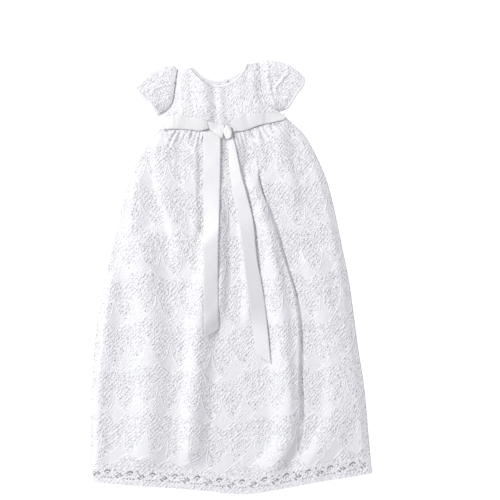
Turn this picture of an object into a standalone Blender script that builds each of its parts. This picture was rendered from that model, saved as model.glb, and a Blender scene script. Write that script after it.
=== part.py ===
"""A baby's christening gown, laid out flat on its back.

Metres, +Z up. The gown lies on z = 0 with its front up and its neck towards +Y; the origin is on that surface,
under the middle of the gown. Sizes and tables are in millimetres, and cloth walls are open grids with Solidify.
"""

import math
from collections import namedtuple

import bmesh
import bpy
from mathutils import Vector

MM = 0.001

# Walls of the cloth, and the gap that is kept wherever two pieces meet.
LACE = 1.0
SATIN = 1.0
BODICE = 1.4
SLEEVE = 1.2
RIBBON = 1.0
BINDING = 1.6
SEAM = 0.3
SEWN_EDGE_GAP = 0.9
BORDER_GAP = 0.6
CUFF_GAP = 1.3

# Widths of the trimmings, and how far the skirt's lining stays inside the lace.
NECK_BINDING_WIDTH = 4.5
CUFF_WIDTH = 5.0
LINING_INSET = 7.0
LINING_START = 5.0
BORDER_DEPTH = 28.0

# The rows of a skirt panel's grid are closer together towards the waist, by this power of their share.
ROW_WARP = 1.5

# Heights of the lower (inner) faces of the front panels above the surface.
LACE_SEAM_HEIGHT = LACE + SEAM
LINING_SEAM_HEIGHT = LACE + SATIN + 2 * SEAM
LINING_RISE = 3.2
LACE_ABOVE_LINING = 0.7
SKIRT_SWELL_LENGTH = 120.0
BODICE_SEAM_HEIGHT = BODICE + SEAM
BODICE_RISE = 2.3

# The sash crosses under the back and every panel lies over it, lifted near its middle line and not further off.
BAND_MIDDLE = ((-112, 245), (88, 254))
BAND_LIFT = RIBBON + SEAM
BAND_FULL = 17.0
BAND_REACH = 34.0

# Round of the skirt's and bodice's side edges, and how fast the panels rise inside it.
EDGE_ROLL = 8.0
EDGE_COLUMNS = 3
RISE_REACH = 26.0

# The seam at the waist, the hem, and the side edges, seen from above.
WAIST = ((-111, 241), (-80, 240), (-42, 237), (-8, 235), (19, 240), (43, 246), (88, 255))
HEM = ((-223, -329), (-161, -334), (-102, -338), (-49, -342), (20, -348), (84, -339), (138, -329), (226, -315))
SKIRT_LEFT = (
    (-111, 241), (-134, 211), (-155, 179), (-171, 130), (-190, 50),
    (-205, -14), (-220, -110), (-225, -200), (-226, -290), (-223, -329),
)
SKIRT_RIGHT = (
    (88, 255), (118, 226), (147, 170), (160, 130), (179, 42),
    (190, -14), (204, -118), (213, -174), (220, -250), (226, -315),
)

# The bodice: shoulders, necklines, armholes and the short side seams.
SHOULDER_LEFT = ((-86, 333), (-62, 337))
SHOULDER_RIGHT = ((23, 343), (45, 344))
NECK_FRONT = ((-62, 337), (-52, 324), (-37, 312), (-22, 307), (-6, 310), (8, 319), (18, 331), (23, 343))
NECK_BACK = ((-62, 337), (-51, 326), (-37, 318), (-23, 315), (-7, 318), (8, 326), (17, 335), (23, 343))
ARMHOLE_LEFT = ((-86, 333), (-89, 314), (-91.5, 294), (-95, 278), (-104, 264))
ARMHOLE_RIGHT = ((45, 344), (47, 314), (49, 294), (58, 277), (77, 264))
CENTRE_BACK_SHARE = 0.5

# Shares of the grid along a bodice panel: shoulder, neck and shoulder, then armhole and side seam.
TOP_EDGE_SHARES = (0.2, 0.6, 0.2)
SIDE_EDGE_SHARES = (0.75, 0.25)

# The sleeves: the fold over the top, the cuff's edge, and the short fold under the arm.
SLEEVE_LEFT_TOP = ((-86, 333), (-94, 339), (-110, 338), (-128, 331), (-144, 318), (-158, 301))
SLEEVE_LEFT_CUFF = ((-158, 301), (-138, 282), (-116, 256))
SLEEVE_LEFT_UNDER = ((-104, 264), (-116, 256))
SLEEVE_RIGHT_TOP = ((45, 344), (54, 347), (65, 348), (81, 344), (97, 337), (109, 328), (118, 319))
SLEEVE_RIGHT_CUFF = ((118, 319), (117, 307), (107, 293), (92, 269))
SLEEVE_RIGHT_UNDER = ((77, 264), (92, 269))

Puff = namedtuple("Puff", "armhole middle cuff")
SLEEVE_PUFF = Puff(armhole=7.0, middle=17.0, cuff=10.0)
SLEEVE_FOLD_RADIUS = 2.2
CUFF_FOLD_RADIUS = 2.6
CUFF_SWELL = 0.5
CROWN_POWER = 0.8
PUFF_LENGTH = 40.0
RING_COLUMNS = 32

# Folds of the front panels. A fold falls over left and right of a level top; its crest runs down the cloth.
Fold = namedtuple("Fold", "name height left top right crest")
SKIRT_FOLDS = (
    Fold("hip_left", 4.0, 14, 0, 20, ((-158, 150), (-166, 82), (-172, 26))),
    Fold("slant_left", 5.0, 16, 0, 30, ((-119, 205), (-110, 138), (-96, 90), (-83, 42))),
    Fold("edge_left", 4.0, 16, 0, 34, ((-198, -20), (-205, -134), (-214, -290))),
    Fold("long_left", 8.0, 42, 0, 44, (
        (-147, 23), (-136, -22), (-133, -86), (-136, -150), (-135, -230), (-136, -340))),
    Fold("under_band_1", 3.0, 10, 0, 11, ((-93, 232), (-91, 178))),
    Fold("under_band_2", 4.5, 12, 0, 14, ((-69, 232), (-69, 154), (-66, 98), (-72, 50))),
    Fold("under_tail_left", 7.0, 14, 6, 13, ((-45, 230), (-41, 154), (-41, 74), (-47, 23))),
    Fold("long_middle", 9.5, 30, 0, 32, (
        (-48, 30), (-58, -22), (-61, -102), (-58, -166), (-63, -230), (-76, -330))),
    Fold("under_tail_right", 6.0, 14, 2, 14, ((4, 225), (12, 154), (20, 90), (26, 20), (28, -50))),
    Fold("long_right", 11.0, 25, 0, 27, (
        (27, 190), (38, 154), (48, 114), (61, 58), (72, -6),
        (82, -70), (89, -134), (91, -198), (86, -262), (73, -330))),
    Fold("deep_pleat", 7.0, 5, 34, 22, ((27, 232), (36, 194), (45, 154), (57, 114), (73, 71), (86, 30))),
    Fold("shoulder_right", 4.0, 11, 0, 13, ((103, 235), (119, 206), (134, 160))),
    Fold("side_right", 5.0, 26, 0, 16, ((143, 160), (157, 110), (168, 58), (174, -6), (178, -70))),
    Fold("broad_right", 8.5, 27, 4, 36, (
        (116, 20), (131, -38), (143, -102), (155, -158), (153, -214), (137, -330))),
)
BODICE_FOLDS = (
    Fold("breast_left", 1.5, 10, 0, 16, ((-77, 306), (-74, 262))),
    Fold("breast_middle", 2.4, 22, 0, 13, ((-58, 327), (-46, 298), (-34, 256))),
    Fold("breast_centre", 1.8, 10, 0, 10, ((-18, 292), (-15, 252))),
    Fold("breast_right", 2.0, 24, 0, 20, ((22, 330), (19, 290), (17, 256))),
)
FOLD_FADE = 38.0
FOLD_UNION = 3.0

# The line of the deep pleat and of the valley that carries it on to the hem. A column of the grid follows it,
# and the next one lies a step to its left, which widens between two shares of the skirt's length.
PLEAT_LINE = (
    (27, 236), (36, 194), (45, 154), (57, 114), (73, 71),
    (86, 30), (103, -30), (110, -120), (108, -230), (84, -335))
PLEAT_STEP = (2.0, 9.0)
PLEAT_WIDENS = (0.25, 0.7)
PLEAT_COLUMN_SHARE = 0.7

# Gathers sewn into the waist, the sleeve heads and the cuffs.
Gathers = namedtuple("Gathers", "count height full reach")
WAIST_GATHERS = Gathers(count=24, height=1.7, full=9.0, reach=62.0)
SLEEVE_HEAD_GATHERS = Gathers(count=7, height=1.3, full=0.08, reach=0.45)
CUFF_GATHERS = Gathers(count=7, height=1.0, full=0.95, reach=0.55)

# The cutwork border: a diamond and a smaller arched eyelet in each repeat, across a strip below the lining.
BORDER_REPEATS = 12
BORDER_STEPS = 6
BORDER_MARGIN_STEPS = 2
BORDER_ROWS = (0.0, 8.5, 14.0, 19.5, BORDER_DEPTH)
EYELET_ROW = 2
DIAMOND_STEP = 1
ARCH_STEP = 4
ARCH_SHRINK = 0.8

# The ribbon, piece by piece, each between an upper or left edge and a lower or right one.
Ribbon = namedtuple("Ribbon", "first second")
SASH_LEFT = Ribbon(
    ((-109, 255), (-83, 259), (-60, 254), (-38, 250)),
    ((-109, 235), (-94, 236), (-70, 235), (-48, 233), (-36.5, 236)))
SASH_FOLD = Ribbon(
    ((-37.5, 247.5), (-24, 245), (-11, 242.5)),
    ((-35.5, 235.5), (-25, 228), (-14, 220)))
SASH_RIGHT = Ribbon(
    ((0, 249.5), (14, 256), (45, 261), (70, 262), (87, 258)),
    ((4, 231.5), (20, 233), (46, 242), (64, 246), (85, 251)))
SASH_BACK = Ribbon(((-110, 256), (-12, 255), (86, 261)), ((-110, 236), (-12, 232), (86, 247)))
KNOT = Ribbon(((-9, 242), (-13, 231), (-8, 219)), ((-1.5, 239), (1.5, 230), (0.5, 222)))
TAIL_LEFT = Ribbon(
    ((-45, 231.5), (-44.5, 120), (-44, 0), (-42.5, -98)),
    ((-17, 231.5), (-17, 200), (-18.5, 120), (-20.5, 40), (-20.5, -40), (-19.5, -84)))
TAIL_RIGHT = Ribbon(
    ((-4.5, 226), (-3.5, 172), (3.5, 130), (14, 76), (20, 26), (28.5, -38), (38.5, -122)),
    ((1.5, 228), (7, 207), (15.5, 164), (25, 130), (35, 89), (40.5, 34), (53, -38), (63.5, -139)))
KNOT_ARCH = 2.5
RIBBON_SLACK = 1.1
BRIDGED_ASIDE = (-7, -3.5, 0, 3.5, 7)
BRIDGED_ALONG = (-17, -8, 0, 8, 17)
BRIDGED_AT_WAIST = (-5, 0, 5)
BUTTON_RADIUS = 2.9
BUTTON_HEIGHT = 2.0
BUTTON_PLACE = (-9.0, 314.2)

Finish = namedtuple("Finish", "colour roughness")
LACE_WHITE = Finish((0.86, 0.86, 0.88), 0.85)
SATIN_WHITE = Finish((0.90, 0.90, 0.92), 0.45)
RIBBON_WHITE = Finish((0.88, 0.88, 0.89), 0.35)
BUTTON_WHITE = Finish((0.92, 0.91, 0.88), 0.25)


def smoothstep(low, high, value):
    """0 below low, 1 above high, and a smooth change between them."""
    share = min(1.0, max(0.0, (value - low) / (high - low)))
    return share * share * (3 - 2 * share)


def hermite(a, b, slope_a, slope_b, share):
    """Cubic between a and b with the given slopes, at share 0 to 1 of the way."""
    square, cube = share * share, share**3
    return (
        a * (2 * cube - 3 * square + 1)
        + slope_a * (cube - 2 * square + share)
        + b * (3 * square - 2 * cube)
        + slope_b * (cube - square)
    )


def smooth_curve(points):
    """A curve through the points as a function of its share of length, 0 to 1."""
    points = [Vector(p) for p in points]
    stations = [0.0]
    for a, b in zip(points, points[1:]):
        stations.append(stations[-1] + (b - a).length)
    slopes = []
    for i in range(len(points)):
        before, after = max(i - 1, 0), min(i + 1, len(points) - 1)
        slopes.append((points[after] - points[before]) / (stations[after] - stations[before]))

    def at(share):
        run = min(1.0, max(0.0, share)) * stations[-1]
        i = max(k for k in range(len(points) - 1) if stations[k] <= run or k == 0)
        span = stations[i + 1] - stations[i]
        inside = (run - stations[i]) / span
        return hermite(points[i], points[i + 1], slopes[i] * span, slopes[i + 1] * span, inside)

    return at


def crest_x(crest, y):
    """X of a fold's crest at height y; its points run down the cloth."""
    if y >= crest[0][1]:
        return crest[0][0]
    if y <= crest[-1][1]:
        return crest[-1][0]
    i = next(k for k in range(len(crest) - 1) if crest[k + 1][1] <= y)
    slopes = []
    for k in (i, i + 1):
        before, after = max(k - 1, 0), min(k + 1, len(crest) - 1)
        slopes.append((crest[after][0] - crest[before][0]) / (crest[after][1] - crest[before][1]))
    span = crest[i + 1][1] - crest[i][1]
    return hermite(crest[i][0], crest[i + 1][0], slopes[0] * span, slopes[1] * span, (y - crest[i][1]) / span)


def fold_height(folds, x, y):
    """How far the folds lift the cloth at a place."""
    total = 0.0
    for fold in folds:
        above, below = fold.crest[0][1], fold.crest[-1][1]
        fade = smoothstep(-FOLD_FADE, 0, above - y) * smoothstep(-FOLD_FADE, 0, y - below)
        if fade == 0:
            continue
        aside = x - crest_x(fold.crest, y)
        share = -aside / fold.left if aside < 0 else max(0.0, aside - fold.top) / fold.right
        if share < 1:
            total += (fold.height * fade * (0.5 + 0.5 * math.cos(math.pi * share))) ** FOLD_UNION
    return total ** (1 / FOLD_UNION)


def coons(top, bottom, left, right):
    """Plan of a panel between four edges: u runs left to right, v from the top edge to the bottom one."""
    corners = (top(0), top(1), bottom(0), bottom(1))

    def at(u, v):
        ruled = top(u) * (1 - v) + bottom(u) * v + left(v) * (1 - u) + right(v) * u
        blend = (corners[0] * (1 - u) + corners[1] * u) * (1 - v) + (corners[2] * (1 - u) + corners[3] * u) * v
        return ruled - blend

    return at


def joined(curves, shares):
    """Several curves run through one after another, each over its share of 0 to 1."""

    def at(t):
        start = 0.0
        for curve, share in zip(curves, shares):
            if t <= start + share or curve is curves[-1]:
                return curve((t - start) / share)
            start += share

    return at


def across(u, columns, width, inset):
    """Share of the width at column share u, with the columns drawn together in the round of each side edge."""
    if columns <= 2 * EDGE_COLUMNS:
        return u
    edge = EDGE_COLUMNS / columns
    inner = width - 2 * inset
    if u < edge:
        aside = EDGE_ROLL * (u / edge) ** 2
    elif u > 1 - edge:
        aside = inner - EDGE_ROLL * ((1 - u) / edge) ** 2
    else:
        aside = EDGE_ROLL + (inner - 2 * EDGE_ROLL) * (u - edge) / (1 - 2 * edge)
    return (inset + aside) / width


def quarter_round(distance, radius):
    """0 at an edge, and 1 once a quarter circle of that radius has come level."""
    share = min(1.0, max(0.0, distance / radius))
    return math.sqrt(1 - (1 - share) ** 2)


skirt_left, skirt_right = smooth_curve(SKIRT_LEFT), smooth_curve(SKIRT_RIGHT)
skirt_plan = coons(smooth_curve(WAIST), smooth_curve(HEM), skirt_left, skirt_right)
SKIRT_LENGTH = (skirt_plan(0.5, 0) - skirt_plan(0.5, 1)).length


def skirt_width(v):
    """Width of a skirt panel, seen from above."""
    return (skirt_right(v) - skirt_left(v)).length


def over_band(x, y):
    """How far the sash under the back lifts whatever lies on it."""
    (x0, y0), (x1, y1) = BAND_MIDDLE
    off = abs(y - (y0 + (y1 - y0) * (x - x0) / (x1 - x0)))
    return BAND_LIFT * (1 - smoothstep(BAND_FULL, BAND_REACH, off))


def lining_height(u, v):
    """Height of the front lining's inner face: it rises inside the side seams and away from the waist."""
    place = skirt_plan(u, v)
    aside = min(u, 1 - u) * skirt_width(v)
    rise = 1 - math.exp(-max(0.0, aside - LINING_INSET) / RISE_REACH)
    swell = LINING_RISE * rise * smoothstep(0, SKIRT_SWELL_LENGTH, v * SKIRT_LENGTH)
    return LINING_SEAM_HEIGHT + over_band(place.x, place.y) + swell


def pleat_warp(u, v, columns):
    """Panel share of a grid column: the two columns at the pleat keep to its line all the way down."""
    pleat = round(PLEAT_COLUMN_SHARE * columns) / columns
    beside = pleat - 1 / columns
    left = skirt_left(v)
    width = skirt_width(v)
    line = (crest_x(PLEAT_LINE, skirt_plan(PLEAT_COLUMN_SHARE, v).y) - left.x) / width
    step = (PLEAT_STEP[0] + (PLEAT_STEP[1] - PLEAT_STEP[0]) * smoothstep(*PLEAT_WIDENS, v)) / width
    knots = ((0.0, 0.0), (beside, line - step), (pleat, line), (1.0, 1.0))
    for (a, share_a), (b, share_b) in zip(knots, knots[1:]):
        if u <= b:
            return share_a + (share_b - share_a) * (u - a) / (b - a)
    return 1.0


def lining_back_height(u, v):
    """Height of the back lining's lower face, on the lace back."""
    place = skirt_plan(u, v)
    return LACE + SEAM + over_band(place.x, place.y)


def gather_wave(gathers, u):
    """A row of gathers, each a little higher or lower than the next."""
    phase = gathers.count * u
    return (0.5 - 0.5 * math.cos(2 * math.pi * phase)) * (0.8 + 0.2 * math.sin(2.4 * phase))


def skirt_height(u, v, column_share=None):
    """Height of the lace front's inner face; without a column it clears the tops of the gathers."""
    place = skirt_plan(u, v)
    aside, down = min(u, 1 - u) * skirt_width(v), v * SKIRT_LENGTH
    edge = quarter_round(aside, EDGE_ROLL)
    over_lining = lining_height(u, v) + SATIN + LACE_ABOVE_LINING
    seam = LACE_SEAM_HEIGHT + over_band(place.x, place.y)
    base = seam + (over_lining - seam) * edge
    folds = fold_height(SKIRT_FOLDS, place.x, place.y) * smoothstep(4, 26, aside) * smoothstep(2, 30, down)
    reach = smoothstep(0, WAIST_GATHERS.full, down)
    reach *= 1 - smoothstep(WAIST_GATHERS.full, WAIST_GATHERS.reach, down)
    wave = 1.0 if column_share is None else gather_wave(WAIST_GATHERS, column_share)
    return base + folds + WAIST_GATHERS.height * wave * reach * smoothstep(2, 10, aside)


def skirt_place(x, y):
    """The panel shares u and v of a point of the skirt's plan."""
    v = (WAIST[0][1] - y) / SKIRT_LENGTH
    u = (x - skirt_left(v).x) / skirt_width(v)
    for _ in range(14):
        found = skirt_plan(u, v)
        u = min(1.0, max(0.0, u + (x - found.x) / skirt_width(v)))
        v = min(1.0, max(0.0, v + (found.y - y) / SKIRT_LENGTH))
    return u, v


def bodice_height(x, y, aside):
    """Height of the front bodice's inner face."""
    folds = fold_height(BODICE_FOLDS, x, y) * smoothstep(2, 14, aside)
    return BODICE_SEAM_HEIGHT + over_band(x, y) + BODICE_RISE * (1 - math.exp(-aside / RISE_REACH)) + folds


def material_of(name, finish):
    """A plain cloth material, shared by the pieces of one finish."""
    made = bpy.data.materials.get(name)
    if made is None:
        made = bpy.data.materials.new(name)
        made.use_nodes = True
        shader = made.node_tree.nodes["Principled BSDF"]
        shader.inputs["Base Color"].default_value = (*finish.colour, 1)
        shader.inputs["Roughness"].default_value = finish.roughness
        shader.inputs["Metallic"].default_value = 0
    return made


def finish_object(name, mesh, material, collection):
    """Names a mesh's object, gives it its material and puts it into the collection."""
    mesh.materials.append(material)
    made = bpy.data.objects.new(name, mesh)
    collection.objects.link(made)
    mesh.shade_smooth()
    return made


def grid_piece(name, columns, rows, place, material, collection,
               closed=False, turned=False, finer_until=0.0, holes=()):
    """A sheet from a grid of columns by rows: place(u, v) gives each point, in millimetres.

    closed joins the last column to the first, and turned leaves the faces looking the other way. Above
    finer_until the columns are halved, for gathers.
    Each hole is a (column, row) point: the four cells round it lose their inner halves, which leaves a diamond.
    """
    mesh = bpy.data.meshes.new(name)
    cloth = bmesh.new()
    bmesh.ops.create_grid(cloth, x_segments=columns, y_segments=rows, size=0.5)
    for vertex in cloth.verts:
        vertex.co += Vector((0.5, 0.5, 0))
    if finer_until:
        middle = [(e, (e.verts[0].co + e.verts[1].co) / 2) for e in cloth.edges]
        upper = [e for e, at in middle if at.y < finer_until and abs(e.verts[0].co.y - e.verts[1].co.y) < 1e-6]
        bmesh.ops.subdivide_edges(cloth, edges=upper, cuts=1, use_grid_fill=True)
    if holes:
        open_eyelets(cloth, columns, rows, holes)
    for vertex in cloth.verts:
        vertex.co = Vector(place(vertex.co.x, vertex.co.y)) * MM
    if closed:
        bmesh.ops.remove_doubles(cloth, verts=cloth.verts, dist=1e-6)
    if not turned:
        bmesh.ops.reverse_faces(cloth, faces=cloth.faces)
    cloth.to_mesh(mesh)
    cloth.free()
    return finish_object(name, mesh, material, collection)


def open_eyelets(cloth, columns, rows, holes):
    """Takes the inner half off the four cells round each hole's point."""
    points = {(round(v.co.x * columns), round(v.co.y * rows)): v for v in cloth.verts}
    for column, row in holes:
        centre = points[column, row]
        for face in list(centre.link_faces):
            outer = [v for v in face.verts if v is not centre]
            bmesh.ops.delete(cloth, geom=[face], context="FACES_ONLY")
            cloth.faces.new(outer)
        bmesh.ops.delete(cloth, geom=[centre], context="VERTS")


def thicken(piece, wall, offset=1.0):
    """Gives a sheet its wall: offset 1 grows it outwards from the grid, -1 inwards."""
    solidify = piece.modifiers.new("wall", "SOLIDIFY")
    solidify.thickness = wall * MM
    solidify.offset = offset
    solidify.use_even_offset = True
    solidify.thickness_clamp = 0
    return piece


def skirt_front(material, collection):
    """The gathered lace front, down to the border."""
    columns, rows = 48, 17
    last = 1 - (BORDER_DEPTH + BORDER_GAP) / SKIRT_LENGTH

    def place(u, v):
        v = last * v**ROW_WARP
        share = pleat_warp(across(u, columns, skirt_width(v), LACE), v, columns)
        point = skirt_plan(share, v)
        return point.x, point.y, skirt_height(share, v, u)

    piece = grid_piece("skirt_front", columns, rows, place, material, collection, finer_until=0.2)
    return thicken(piece, LACE)


def skirt_back(material, collection):
    """The lace back, flat on the surface, down to the border."""
    last = 1 - (BORDER_DEPTH + BORDER_GAP) / SKIRT_LENGTH

    def place(u, v):
        point = skirt_plan(u, last * v**ROW_WARP)
        return point.x, point.y, over_band(point.x, point.y)

    return thicken(grid_piece("skirt_back", 16, 12, place, material, collection), LACE)


def lining(name, columns, rows, height, material, collection):
    """A satin lining panel, inside the lace at the sides and above its border."""
    first, last = LINING_START / SKIRT_LENGTH, 1 - (BORDER_DEPTH + 1) / SKIRT_LENGTH

    def place(u, v):
        v = first + (last - first) * v**ROW_WARP
        inset = LINING_INSET / skirt_width(v)
        u = inset + (1 - 2 * inset) * u
        point = skirt_plan(u, v)
        return point.x, point.y, height(u, v)

    return thicken(grid_piece(name, columns, rows, place, material, collection), SATIN)


def border(name, height, inset, material, collection):
    """The cutwork border of one panel, from the hem up to the lining's edge."""
    columns = BORDER_REPEATS * BORDER_STEPS + 2 * BORDER_MARGIN_STEPS
    rows = len(BORDER_ROWS) - 1
    diamonds = [BORDER_MARGIN_STEPS + BORDER_STEPS * k + DIAMOND_STEP for k in range(BORDER_REPEATS)]
    arches = [BORDER_MARGIN_STEPS + BORDER_STEPS * k + ARCH_STEP for k in range(BORDER_REPEATS)]

    def place(u, v):
        column, row = round(u * columns), rows - round(v * rows)
        up = BORDER_ROWS[row]
        near_arch = next((a for a in arches if abs(a - column) + abs(EYELET_ROW - row) == 1), None)
        if near_arch is not None:
            column = near_arch + (column - near_arch) * ARCH_SHRINK
            up = BORDER_ROWS[EYELET_ROW] + (up - BORDER_ROWS[EYELET_ROW]) * ARCH_SHRINK
        v = 1 - up / SKIRT_LENGTH
        width = skirt_width(v)
        share = (inset + (width - 2 * inset) * column / columns) / width
        point = skirt_plan(share, v)
        return point.x, point.y, height(share, v)

    holes = [(column, rows - EYELET_ROW) for column in diamonds + arches]
    return thicken(grid_piece(name, columns, rows, place, material, collection, holes=holes), LACE)


def offset_curve(points, distance):
    """The curve moved sideways, to the right of its own direction."""
    curve = smooth_curve(points)

    def at(t):
        along = curve(min(1.0, t + 0.01)) - curve(max(0.0, t - 0.01))
        return curve(t) + Vector((along.y, -along.x)).normalized() * distance

    return at


def bodice_plan(neck):
    """Plan of a whole bodice panel, with its neckline set back for the binding."""
    inner = offset_curve(neck, NECK_BINDING_WIDTH + SEWN_EDGE_GAP)
    shoulder_left = smooth_curve((SHOULDER_LEFT[0], inner(0)))
    shoulder_right = smooth_curve((inner(1), SHOULDER_RIGHT[1]))
    top = joined([shoulder_left, inner, shoulder_right], TOP_EDGE_SHARES)
    waist = smooth_curve([(x, y + SEWN_EDGE_GAP) for x, y in WAIST])
    side_left = smooth_curve((ARMHOLE_LEFT[-1], (WAIST[0][0], WAIST[0][1] + SEWN_EDGE_GAP)))
    side_right = smooth_curve((ARMHOLE_RIGHT[-1], (WAIST[-1][0], WAIST[-1][1] + SEWN_EDGE_GAP)))
    edge_left = joined([smooth_curve(ARMHOLE_LEFT), side_left], SIDE_EDGE_SHARES)
    edge_right = joined([smooth_curve(ARMHOLE_RIGHT), side_right], SIDE_EDGE_SHARES)
    return coons(top, waist, edge_left, edge_right)


def bodice_front(material, collection):
    """The front bodice: lace and its backing as one wall, crowned over the back."""
    plan = bodice_plan(NECK_FRONT)
    columns, rows = 20, 12

    def place(u, v):
        point = plan(u, v)
        width = (plan(1, v) - plan(0, v)).length
        return point.x, point.y, bodice_height(point.x, point.y, min(u, 1 - u) * width)

    return thicken(grid_piece("bodice_front", columns, rows, place, material, collection), BODICE)


def bodice_back(name, side, material, collection):
    """One half of the back bodice, flat on the surface; the halves meet at the opening down the centre."""
    plan = bodice_plan(NECK_BACK)

    def place(u, v):
        u = u * CENTRE_BACK_SHARE if side < 0 else CENTRE_BACK_SHARE + u * (1 - CENTRE_BACK_SHARE)
        point = plan(u, v)
        at_opening = abs(u - CENTRE_BACK_SHARE) < 1e-6
        return point.x + (side * SEAM / 2 if at_opening else 0), point.y, over_band(point.x, point.y)

    return thicken(grid_piece(name, 8, 12, place, material, collection), BODICE)


def sleeve_plan(top, cuff_edge, under, armhole, outward):
    """Plan of a sleeve: v from the armhole to the cuff's edge, u from the top fold to the one under the arm."""
    armhole = offset_curve(armhole, -SEWN_EDGE_GAP * outward)
    return coons(armhole, smooth_curve(cuff_edge), smooth_curve([armhole(0)] + list(top[1:])),
                 smooth_curve([armhole(1)] + list(under[1:])))


def ring(turn, radius):
    """One round of a flattened tube: share across it, and shares of its rounded side and of its crown."""
    column = round(turn * RING_COLUMNS) % RING_COLUMNS
    half = RING_COLUMNS // 2
    if column in (0, half):
        return (0.0 if column == 0 else 1.0), 0.0, radius, 0.0
    over = column < half
    place = (column - 1) / (half - 2) if over else 1 - (column - half - 1) / (half - 2)
    crown = math.sin(math.pi * place) if over else 0.0
    return place, (1 - 2 * place) * radius, (2 * radius if over else 0.0), crown


def sleeve_point(plan, turn, v, radius, swell=0.0):
    """A point of the sleeve: flat below, rounded at both folds, puffed and gathered above."""
    u, inward, side, crown = ring(turn, radius)
    length = (plan(u, 1) - plan(u, 0)).length
    width = (plan(1, v) - plan(0, v)).length
    point = plan(u + inward / width, v)
    fullness = min(1.0, length / PUFF_LENGTH)
    puff = (SLEEVE_PUFF.middle - (SLEEVE_PUFF.armhole + SLEEVE_PUFF.cuff) / 2) * fullness
    height = SLEEVE_PUFF.armhole * (1 - v) + SLEEVE_PUFF.cuff * v + puff * math.sin(math.pi * v) - 2 * radius
    head = SLEEVE_HEAD_GATHERS.height * gather_wave(SLEEVE_HEAD_GATHERS, u)
    head *= smoothstep(0, SLEEVE_HEAD_GATHERS.full, v) * (1 - smoothstep(0.1, SLEEVE_HEAD_GATHERS.reach, v))
    hand = CUFF_GATHERS.height * gather_wave(CUFF_GATHERS, u)
    hand *= smoothstep(CUFF_GATHERS.reach, 0.85, v) * (1 - smoothstep(CUFF_GATHERS.full, 1, v))
    return point.x, point.y, side + (height + (head + hand) * fullness + swell) * crown**CROWN_POWER


def cuff_share(plan, turn, radius, width):
    """Share of the sleeve's length at which a band of this width begins, at one place of the round."""
    u = ring(turn, radius)[0]
    return 1 - width / (plan(u, 1) - plan(u, 0)).length


def sleeve(name, plan, turned, material, collection):
    """A puffed cap sleeve, one closed tube with open ends."""

    def place(turn, v):
        last = cuff_share(plan, turn, SLEEVE_FOLD_RADIUS, CUFF_WIDTH + CUFF_GAP)
        return sleeve_point(plan, turn, v * last, SLEEVE_FOLD_RADIUS)

    piece = grid_piece(name, RING_COLUMNS, 6, place, material, collection, closed=True, turned=turned)
    return thicken(piece, SLEEVE, -1.0)


def cuff(name, plan, turned, material, collection):
    """The narrow binding round the sleeve's opening."""

    def place(turn, v):
        first = cuff_share(plan, turn, CUFF_FOLD_RADIUS, CUFF_WIDTH)
        return sleeve_point(plan, turn, first + (1 - first) * v, CUFF_FOLD_RADIUS, CUFF_SWELL)

    piece = grid_piece(name, RING_COLUMNS, 1, place, material, collection, closed=True, turned=turned)
    return thicken(piece, BINDING, -1.0)


def ribbon(name, edges, height, columns, rows, material, collection, wall=RIBBON):
    """A ribbon or binding between two edges: height(x, y, v) gives its lower face."""
    first, second = edges

    def place(u, v):
        point = first(u) * (1 - v) + second(u) * v
        return point.x, point.y, height(point.x, point.y, v)

    return thicken(grid_piece(name, columns, rows, place, material, collection), wall)


def on_skirt(x, y, _=0.0):
    """Lower face of a ribbon on the skirt: its stiffness bridges the hollows beside each place."""
    tops = []
    for aside in BRIDGED_ASIDE:
        for up in BRIDGED_ALONG:
            u, v = skirt_place(x + aside, y + up)
            tops.append(skirt_height(u, v))
    return max(tops) + LACE + SEAM + RIBBON_SLACK


def on_waist(x, y, _=0.0):
    """Lower face of the sash: it lies over the waist seam, on the bodice above it and the skirt below it."""
    tops = []
    for up in BRIDGED_AT_WAIST:
        aside = max(0.0, min(x - WAIST[0][0], WAIST[-1][0] - x))
        tops.append(bodice_height(x, y + up, aside) + BODICE)
        u, v = skirt_place(x, y + up)
        tops.append(skirt_height(u, v) + LACE)
    return max(tops) + SEAM


def sash(material, collection):
    """The ribbon sash: the band round the waist, the turned-over fold, the knot, and two free tails."""
    layer = RIBBON + SEAM

    def over_tail(x, y, _):
        return max(on_waist(x, y), on_skirt(x, y)) + layer + RIBBON_SLACK

    def over_fold(x, y, v):
        return over_tail(x, y, v) + layer + RIBBON_SLACK + KNOT_ARCH * math.sin(math.pi * v)

    pieces = (
        ("sash_left", SASH_LEFT, on_waist, 12, 2),
        ("sash_right", SASH_RIGHT, on_waist, 12, 2),
        ("sash_back", SASH_BACK, lambda x, y, _: 0.0, 8, 1),
        ("sash_fold", SASH_FOLD, over_tail, 6, 2),
        ("sash_knot", KNOT, over_fold, 5, 4),
        ("tail_left", TAIL_LEFT, on_skirt, 30, 2),
        ("tail_right", TAIL_RIGHT, on_skirt, 32, 2),
    )
    for name, edges, height, columns, rows in pieces:
        curves = smooth_curve(edges.first), smooth_curve(edges.second)
        ribbon(name, curves, height, columns, rows, material, collection)


def neck_bindings(material, collection):
    """The narrow binding of the neckline, front and back, set against the bodice's edge."""

    def front(x, y, _):
        return max(BINDING + SEAM, bodice_height(x, y, NECK_BINDING_WIDTH) - (BINDING - BODICE) / 2)

    def back(x, y, _):
        return 0.0

    pieces = (("neck_binding_front", NECK_FRONT, front), ("neck_binding_back", NECK_BACK, back))
    for name, neck, height in pieces:
        edges = smooth_curve(neck), offset_curve(neck, NECK_BINDING_WIDTH)
        ribbon(name, edges, height, 18, 1, material, collection, BINDING)


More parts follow.
